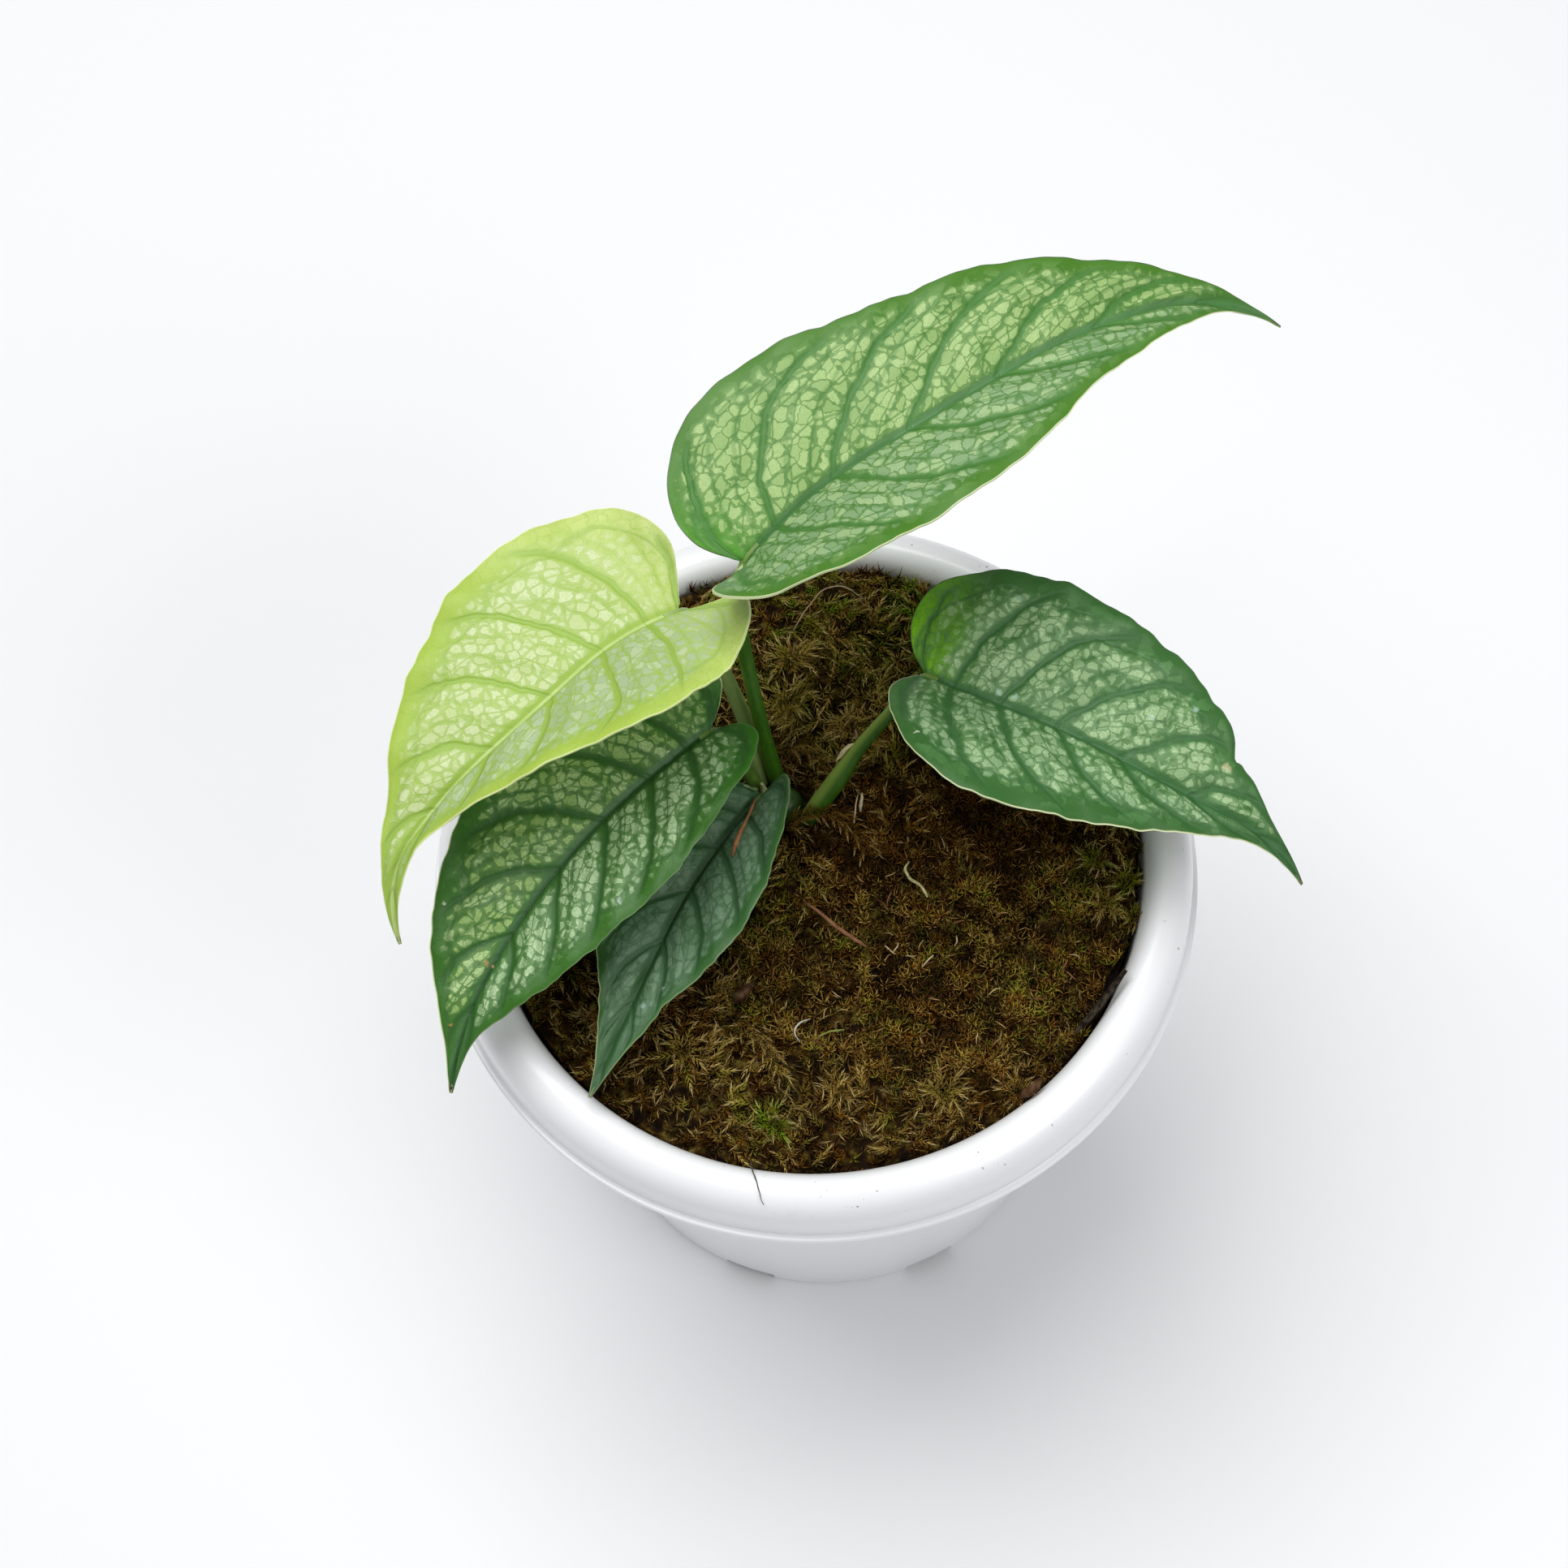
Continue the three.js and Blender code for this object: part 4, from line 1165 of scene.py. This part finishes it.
        "slots": ("leaf_dark", "stem_green"),
        "veins": (6.8, 0.2),
        "notch": (61, 1.7, 1.2),  # a bite in the left edge: where along, how deep, how wide
        "look": {
            "body": "#3a6b2c", "marginTone": "#36652a", "glow": "#84c80e", "glowSides": (1.0, 0.12),
            "silver": ("#a2c08c", "#9dbd8e"), "glint": "#c4dcaa", "silverShare": (0.95, 0.95),
            "silverMost": 0.84, "patchiness": 0.62, "margin": (0.68, 0.92), "cell": 2.2,
            "weakShare": 0.35, "lineDepth": 0.68, "glowLean": 0.001, "lineWidth": 0.07,
            "fineShare": 0.5, "mottle": 0.6,
            "net": "#5c8c50", "vein": "#366433", "veinWidth": 0.85, "rib": "#39683a",
            "ribBand": "#456f44", "edge": ("#44663c", "#d8dfae"), "under": "#86a566",
        },
        "marks": [(15.6, 2.6, 0.7, "#a8c8b0"), (19, 2.9, 0.8, "#a4c6ac"), (43.2, 10.4, 0.7, "#b9d4bd"),
                  (50, 16, 0.9, "#a9c8b4"), (32.4, -0.4, 0.35, "#f0f4e6"), (60.6, 8.9, 1.0, "#cfc79c"),
                  (11.2, 21.6, 0.7, "#8fb59c"), (8, -17.2, 0.35, "#eef2e2")],
    },
}


def bladeForm(leaf):  # places mm points given along the midrib, out from it, and lift off the surface
    steps = 120
    marks = np.linspace(0, 1, steps + 1)
    lobe = bladeMesh["lobe"]

    def direction(share):
        heading = np.radians(stationValues(leaf["heading"], share))
        slope = np.radians(stationValues(leaf["slope"], share))
        level = np.cos(slope)
        along = np.stack([level * np.cos(heading), level * np.sin(heading), np.sin(slope)], axis=-1)
        left = np.stack([-np.sin(heading), np.cos(heading), 0 * heading], axis=-1)
        return along, left

    alongs, lefts = direction(marks)
    strides = direction(marks[:-1] + 0.5 / steps)[0] * leaf["length"] / steps
    places = np.vstack([leaf["base"], np.array(leaf["base"]) + np.cumsum(strides, axis=0)])
    ups = np.cross(alongs, lefts)

    def form(a, b, lift):
        a, b, lift = np.broadcast_arrays(*[np.asarray(value, float) for value in (a, b, lift)])
        share = np.clip(a / leaf["length"], 0, 1)
        along, left, up, place = [
            np.stack([np.interp(share, marks, table[:, i]) for i in range(3)], axis=-1)
            for table in (alongs, lefts, ups, places)]
        behind = np.minimum(a, 0)
        folds = [stationValues(leaf[half], share) + extra * np.minimum(-behind / lobe, 1)
                 for half, extra in zip(("foldLeft", "foldRight"), leaf["lobeFold"])]
        fold = np.radians(np.where(b < 0, folds[1], folds[0]))
        curl = math.radians(leaf["curl"]) / bladeMesh["curlReach"]
        angle = fold + curl * np.abs(b)
        across = (np.sin(angle) - np.sin(fold)) / curl - lift * np.sin(angle)
        rise = (np.cos(fold) - np.cos(angle)) / curl + lift * np.cos(angle)
        rise = rise + leaf["lobeLift"] * (behind / lobe) ** 2
        across = np.where(b < 0, -across, across)
        return place + along * behind[..., None] + left * across[..., None] + up * rise[..., None]

    return form


def edgeTable(leaf, side):  # the outline at even places, with a slight waver, and any notch
    steps = bladeMesh["edgeSteps"]
    table = smoothCurve(leaf[side], steps)
    seed = len(leaf["left"])
    for i, (a, b) in enumerate(table):
        calm = min(1, i / 20, (steps - i) / 60)
        table[i][1] += 0.4 * calm * noise.noise(Vector((0.17 * i, seed, 0)))
        if side == "left" and "notch" in leaf and b > 3:
            where, depth, width = leaf["notch"]
            table[i][1] -= depth * math.exp(-((a - where) / width) ** 2)
    return table


def flatPlaces(leaf):  # gives a point in the blade's plane for a row and a place across it
    rows = np.linspace(0, 1, bladeMesh["edgeSteps"] + 1)
    left, right = edgeTable(leaf, "left"), edgeTable(leaf, "right")

    def flat(row, side):
        out = np.abs(side)
        edgeA, edgeB = [np.where(side < 0, np.interp(row, rows, there), np.interp(row, rows, here))
                        for there, here in zip(right.T, left.T)]
        rib = leaf["length"] * row ** bladeMesh["rowPower"]
        a = rib + (edgeA - rib) * (0.55 * out + 0.45 * out ** 2.6)
        return np.stack([a, side * edgeB], axis=-1)

    return flat


def bladeNumbers(leaf, row, side):  # where a point lies on its half and among the side veins
    flat = flatPlaces(leaf)
    count, sweep = leaf["veins"]

    def veinPlace(row, side):
        out = np.abs(side)
        forward = row - sweep * (0.75 * out + 0.5 * out ** 4) * (1 - row) ** 0.6
        return count * np.sign(forward) * np.abs(forward) ** bladeMesh["veinPower"]

    def travelled(end):
        cuts = [flat(row, end * k / 16) for k in range(17)]
        return sum(np.linalg.norm(b - a, axis=-1) for a, b in zip(cuts, cuts[1:]))

    edge = np.where(side < 0, -1.0, 1.0)
    nudge = 0.004
    low, high = np.clip(row - nudge, 0, 1), np.clip(row + nudge, 0, 1)
    inner, outer = side - nudge * (side > nudge - 1), side + nudge * (side < 1 - nudge)
    alongStep = (flat(high, side) - flat(low, side)) / (high - low)[:, None]
    acrossStep = (flat(row, outer) - flat(row, inner)) / (outer - inner)[:, None]
    alongVein = (veinPlace(high, side) - veinPlace(low, side)) / (high - low)
    acrossVein = (veinPlace(row, outer) - veinPlace(row, inner)) / (outer - inner)
    area = alongStep[:, 0] * acrossStep[:, 1] - alongStep[:, 1] * acrossStep[:, 0]
    slopeX = alongVein * acrossStep[:, 1] - acrossVein * alongStep[:, 1]
    slopeY = acrossVein * alongStep[:, 0] - alongVein * acrossStep[:, 0]
    spread = np.abs(area) / np.maximum(np.hypot(slopeX, slopeY), 1e-4)
    return flat(row, side), travelled(side), travelled(edge), np.minimum(spread, 60), veinPlace(row, side)


def bladeLift(leaf, row, side, plane, vein):  # how far the top stands off the smooth form
    out = np.abs(side)
    count, leftHeight, rightHeight, phase = leaf["ripple"]
    calm = np.minimum(1, 4 * row) * np.minimum(1, 5 * (1 - row))
    ripple = np.where(side > 0, leftHeight, rightHeight) * np.sin(2 * math.pi * (count * row + phase))
    quilt = 1.7 * leaf["quilt"] * np.sin(math.pi * vein) ** 2 * np.sin(math.pi * out)
    bumps = np.array([noise.noise(Vector((a / 5, b / 5, 3))) for a, b in plane])
    channel = 0.45 * np.exp(-(plane[:, 1] / 0.8) ** 2) * (1 - row) ** 0.3
    lift = calm * (ripple * out ** 3 + quilt - 0.3 * smoothRise(out, 0.96, 1.0))
    return lift + 0.22 * bumps * out * (1 - out ** 4) - channel


def bladeDepth(leaf, row, side, plane, vein, spread):  # thickness, with the midrib's keel below
    radius = stationValues([leaf["keel"], 0.85 * leaf["keel"], 0.6 * leaf["keel"], 0.4, 0.2],
                           row ** bladeMesh["rowPower"])
    radius = np.maximum(radius * smoothRise(plane[:, 0], -1, 3), 0.05)
    keel = radius * np.sqrt(np.clip(1 - (plane[:, 1] / (1.1 * radius)) ** 2, 0, 1)) * 1.5
    toVein = np.abs((vein + 0.5) % 1 - 0.5) * spread
    rib = 0.3 * np.exp(-(toVein / 0.5) ** 2) * (1 - np.abs(side)) * (1 - row)
    return (bladeMesh["thickness"] + keel + rib) * (1 - 0.7 * smoothRise(row, 0.88, 1))


def thicken(piece, depth):  # the second and third finish go on the underside and the edge
    most = depth.max()
    group = piece.vertex_groups.new(name="depth")
    for i, share in enumerate(depth / most):
        group.add([i], float(share), "REPLACE")
    solid = piece.modifiers.new("depth", "SOLIDIFY")
    solid.thickness = most * mm
    solid.offset = -1
    solid.vertex_group = group.name
    solid.material_offset = 1
    solid.material_offset_rim = 2
    applyAll(piece)
    piece.vertex_groups.clear()


def makeBlade(name, leaf):
    bpy.ops.mesh.primitive_grid_add(x_subdivisions=bladeMesh["rows"], y_subdivisions=bladeMesh["columns"],
                                    size=2)
    piece = bpy.context.object
    mesh = piece.data
    grid = readPoints(mesh)
    row = np.clip((grid[:, 0] + 1) / 2, 0, 1)
    side = np.sign(grid[:, 1]) * np.abs(grid[:, 1]) ** 1.2
    plane, reach, breadth, spread, vein = bladeNumbers(leaf, row, side)
    lift = bladeLift(leaf, row, side, plane, vein) + bladeMesh["thickness"] / 2
    writePoints(mesh, bladeForm(leaf)(plane[:, 0], plane[:, 1], lift) * mm)

    while mesh.uv_layers:
        mesh.uv_layers.remove(mesh.uv_layers[0])
    span = bladeMesh["uvSpan"]
    unwrap(mesh, "rows", row, 0.5 + side / 2)
    unwrap(mesh, "veins", vein / bladeMesh["uvVeins"], reach / span)
    unwrap(mesh, "plane", plane[:, 0] / span, plane[:, 1] / span)
    paint(mesh, "spread", spread)
    paint(mesh, "breadth", breadth)
    for makeFinish in (leafTop, leafUnder, leafEdge):
        mesh.materials.append(makeFinish(name, leaf))
    thicken(piece, bladeDepth(leaf, row, side, plane, vein, spread))
    bpy.ops.object.shade_smooth_by_angle(angle=math.radians(bladeMesh["sharpest"]))
    settle(piece, "blade_" + name, leaf["slots"][0], "leaf_" + name + "_blade")


def leafTop(name, leaf):
    look = leaf["look"]
    span = bladeMesh["uvSpan"]
    finish = Finish("leaf_" + name, Specular_IOR_Level=0.35)
    row, across = finish.parts(finish.uv("rows"))[:2]
    veinShare, reach = finish.parts(finish.uv("veins"))[:2]
    flat = finish.uv("plane")
    out = (across * 2 - 1).size()
    left = across.rise(0.497, 0.503)
    spread = finish.painted("spread")
    breadth = finish.painted("breadth")
    drift = finish.parts(finish.cloud(flat, 9, 2, True, 1))
    waver = finish.cloud(flat, 60, 2, True, 1)
    wander = finish.node("VectorMath", {"operation": "MULTIPLY_ADD"},
                         {0: waver, 1: (0.016, 0.016, 0), 2: flat})  # the plane, slightly crumpled
    vein = veinShare * bladeMesh["uvVeins"] + (drift[0] - 0.5) * 0.2 + (finish.parts(waver)[1] - 0.5) * 0.04

    def halves(values):  # one value on the left half and one on the right
        return left * (values[0] - values[1]) + values[1]

    # Distances in mm to the side veins, the weaker ones between, the midrib and the edge vein
    toVein = vein.toWhole() * spread
    toWeak = (vein * 3).toWhole() * spread * 0.333
    toRib = (finish.parts(flat)[1] * span).size()
    bow = (vein.toWhole() - 0.25) * 0.2
    toLoop = (out - 0.79 - bow - (drift[1] - 0.5) * 0.1).size() * breadth
    veinLine = toVein.fall(0.1, look["veinWidth"]) * out.fall(0.82, 0.97)
    veinZone = toVein.fall(0.2, look["veinWidth"] * 2.1) * out.fall(0.84, 0.98)
    weakLine = toWeak.fall(0.1, 0.6) * out.fall(0.8, 0.93) * look["weakShare"]
    loopLine = toLoop.fall(0.1, 0.75) * row.fall(0.85, 0.97) * 0.75

    # How silver the blade is: not on the veins, the midrib or the margin, and in patches
    patch = finish.cloud(flat, 20, 3, True).rise(0.38, 0.58)
    glow = (row + toRib * look["glowLean"]).fall(0.05, 0.32) * halves(look["glowSides"])
    silverness = (1 - (1 - patch) * look["patchiness"]) * halves(look["silverShare"])
    silverness = silverness * out.fall(*look["margin"]) * toRib.rise(0.4, 2.1) * (1 - veinZone * 0.75)
    silverness = silverness * row.fall(0.84, 0.99) * (1 - toWeak.fall(0.2, 1.1) * 0.35) * (1 - glow * 0.8)

    # Silver lies in the cells of the fine net, whose green lines widen where there is less of it
    netScale = span / look["cell"]
    gaps = finish.cells(wander, netScale)
    spots = finish.parts(finish.cells(wander, netScale, "F1", 1))[0]
    ladder = finish.node("CombineXYZ", {}, {0: vein * 3, 1: reach * (0.42 * netScale)})
    ladderLine = finish.cells(ladder, 1).fall(0.01, 0.075) * silverness.rise(0.1, 0.6)
    fineLine = finish.cells(wander, 2.65 * netScale).fall(0.02, 0.11) * look["fineShare"]
    islands = (gaps - (1 - silverness) * 0.3).rise(0.0, look["lineWidth"])
    silver = (1 - (1 - islands) * look["lineDepth"]) * (1 - ladderLine * look["lineDepth"])
    silver = silver * silverness.rise(0.02, 0.5) * (islands + silverness * 2).rise(0.2, 1.0)
    silver = silver * (spots.rise(0.0, 0.6) * 0.26 + 0.74)

    # the silver tone differs between the halves, partly the leaf's own colour and partly painted light and
    # sheen by how each half faces the light
    silverAndSheenTone = finish.blend(left, look["silver"][1], look["silver"][0])
    silverAndSheenTone = finish.blend(spots.rise(0.3, 0.9) * 0.4, silverAndSheenTone, look["glint"])
    shade = finish.cloud(flat, 300, 4, True)
    finish.base(look["body"])
    finish.cover(out.rise(0.75, 0.97), look["marginTone"])
    finish.cover(glow, look["glow"])
    finish.cover(finish.cloud(flat, 34, 3, True).rise(0.42, 0.68) * 0.35, look["marginTone"])
    finish.cover(spots.rise(0.35, 1.0) * out.fall(0.9, 1.0) * look["mottle"], look["net"])
    finish.cover(gaps.fall(0.0, 0.07) * 0.45, look["vein"])
    finish.cover(silver * look["silverMost"], silverAndSheenTone)
    finish.cover(fineLine * silver, look["net"])
    finish.cover(toRib.fall(0.4, 1.5) * row.rise(0.02, 0.12) * 0.7, look["ribBand"])
    finish.cover(veinZone * 0.35, look["vein"])
    finish.cover(veinLine.orMore(loopLine).orMore(weakLine) * 0.75, look["vein"])
    finish.cover(toRib.fall(0.2, 0.5) * 0.85, look["rib"])
    finish.cover(shade.fall(0.35, 0.5) * 0.14, look["vein"])
    for a, b, radius, code in leaf["marks"]:
        centre = (a / span, b / span, 0)
        spot = finish.node("VectorMath", {"operation": "DISTANCE"}, {0: wander, 1: centre}, 1)
        finish.cover((spot * span).fall(0.2 * radius, 1.1 * radius) * 0.7, code)
    rim = finish.blend(left, look["edge"][1], look["edge"][0])
    finish.cover(((1 - out) * breadth).fall(0.06, 0.3), rim)
    finish.cover(row.rise(0.982, 0.994) * 0.8, leafTones["tip"])
    finish.feed("Roughness", shade * 0.12 + 0.38 + silver * 0.06)
    finish.bump(silver * 0.5 - veinLine * 0.9 - loopLine * 0.6 - weakLine * 0.5 + shade * 0.25, 0.14)
    return finish.material


def leafUnder(name, leaf):
    look = leaf["look"]
    finish = Finish("leaf_" + name + "_under", Roughness=0.6)
    plane = finish.uv("plane")
    veinShare = finish.parts(finish.uv("veins"))[0]
    toVein = (veinShare * bladeMesh["uvVeins"]).toWhole() * finish.painted("spread")
    toRib = (finish.parts(plane)[1] * bladeMesh["uvSpan"]).size()
    net = finish.cells(plane, 45).fall(0.04, 0.14)
    finish.base(look["under"])
    finish.cover(finish.cloud(plane, 30, 4, True), look["body"])
    finish.cover(net * 0.35, look["under"])
    finish.cover(toVein.fall(0.2, 0.9).orMore(toRib.fall(0.8, 1.8)) * 0.6, leaf["petioleTone"][1])
    finish.bump(net + finish.cloud(plane, 90, 2, True), 0.1)
    return finish.material


def leafEdge(name, leaf):
    look = leaf["look"]
    finish = Finish("leaf_" + name + "_edge", Roughness=0.5)
    finish.base(look["edge"][1])
    finish.cover(finish.parts(finish.uv("rows"))[1].rise(0.45, 0.55), look["edge"][0])
    finish.cover(finish.cloud(finish.place(), 200, 3) * 0.5, look["marginTone"])
    return finish.material


def stalkFinish(name, tones):
    finish = Finish(name, Roughness=0.42)
    place = finish.place()
    x, y, z = finish.parts(place)
    grain = finish.cloud(finish.node("CombineXYZ", {}, {0: x * 9, 1: y * 9, 2: z}), 130, 3)
    finish.base(tones[0])
    finish.cover(grain.rise(0.25, 0.8) * 0.5, tones[1])
    # painted light: the stalk's side towards the lamps is paler
    finish.cover(finish.painted("litSide") * 0.85, tones[2])
    finish.cover(finish.cloud(place, 500).rise(0.7, 0.78) * 0.25, leafTones["stalkSpeck"])
    finish.cover(finish.painted("along").fall(0.02, 0.25) * 0.7, leafTones["stalkFoot"])
    finish.bump(grain, 0.08)
    return finish.material


def paintLitSide(piece):  # painted light: the paler side of a stalk, where it faces the lamps
    normals = np.array([vertex.normal for vertex in piece.data.vertices])
    paint(piece.data, "litSide", smoothRise(normals @ np.array(leafTones["litSideDirection"]), 0.25, 1.0))


def makePetiole(name, leaf):
    form = bladeForm(leaf)
    under = [tuple(form(share * leaf["length"], 0, -0.9)) for share in (0.012, 0.035)]
    piece = bar([*leaf["petiole"], *under], [*leaf["petioleRadius"], 0.9 * leaf["keel"]], 64)
    paintLitSide(piece)
    finish = stalkFinish("petiole_" + name, leaf["petioleTone"])
    settle(piece, "petiole_" + name, leaf["slots"][1], "leaf_" + name + "_petiole", finish)


for leafName, leafTable in leaves.items():
    makeBlade(leafName, leafTable)
    makePetiole(leafName, leafTable)


# Stem, the rolled new leaf, and the scrap that clings to the low leaf

stem = {
    "radius": 3.7,
    "bottom": 97,
    "top": 120.6,
    "swell": [(0, 0.8), (0.1, 1), (0.28, 0.94), (0.42, 0.9), (0.5, 1.04), (0.6, 0.92), (0.72, 0.97),
              (0.84, 1.02), (0.92, 0.86), (0.97, 0.6)],  # share of the height, share of the radius
    # the last tone is the paler painted lit side
    "tones": ("#22400a", "#3c5c18", "#4c6c22"),
}

newShoot = {
    "route": [(-7.6, 13, 112), (-8.5, 12.8, 121), (-9.2, 12.5, 129)],
    "radii": (1.3, 1.25, 1.1, 0.8, 0.3),
    # the last tone is the paler painted lit side
    "tones": ("#8f9c58", "#c9cf9c", "#e0e3c0"),
}

scrap = {  # its route lies on the blade, along the midrib and out from it
    "route": [(1.6, 0.8), (4, 2), (7.2, 3.2), (10, 4), (13.2, 5.2), (15.4, 6)],
    "lift": 0.75,
    "radii": (0.1, 0.34, 0.24, 0.46, 0.6, 0.16),
    "tone": "#a9704a",
}


def makeStem():
    length = stem["top"] - stem["bottom"]
    profile = [(0, stem["bottom"])]
    profile += [(stem["radius"] * wide, stem["bottom"] + length * up) for up, wide in stem["swell"]]
    profile += [(0, stem["top"])]
    piece = spun(profile, 40)
    smooth = piece.modifiers.new("smooth", "SUBSURF")
    smooth.levels = 1
    applyAll(piece)
    points = readPoints(piece.data) / mm
    paint(piece.data, "along", (points[:, 2] - stem["bottom"]) / length)
    points += np.array([noise.noise_vector(Vector(point) / 3) for point in points]) * 0.25
    writePoints(piece.data, (points + (crown["x"], crown["y"], 0)) * mm)
    bpy.ops.object.shade_smooth()
    paintLitSide(piece)
    settle(piece, "stem_stump", "stem_green", "stem", stalkFinish("stem_skin", stem["tones"]))


def makeNewShoot():
    piece = bar(newShoot["route"], newShoot["radii"])
    paintLitSide(piece)
    finish = stalkFinish("new_shoot_skin", newShoot["tones"])
    settle(piece, "new_shoot_roll", "shoot_pale", "new_shoot", finish)


def makeScrap():
    form = bladeForm(leaves["low"])
    route = [tuple(form(a, b, scrap["lift"])) for a, b in scrap["route"]]
    piece = bar(route, scrap["radii"], 40, 2)
    settle(piece, "litter_leaf_scrap", "moss", material=litterFinish("scrap_on_leaf", scrap["tone"]))


makeStem()
makeNewShoot()
makeScrap()


# Floor

floor = {"size": 6000, "tone": "#f4f5f6"}


def makeFloor():
    bpy.ops.mesh.primitive_plane_add(size=floor["size"] * mm)
    ground = bpy.context.object
    ground.name = "floor"
    finish = Finish("studio_floor", Roughness=0.9)
    finish.base(floor["tone"])
    ground.data.materials.append(finish.material)


makeFloor()
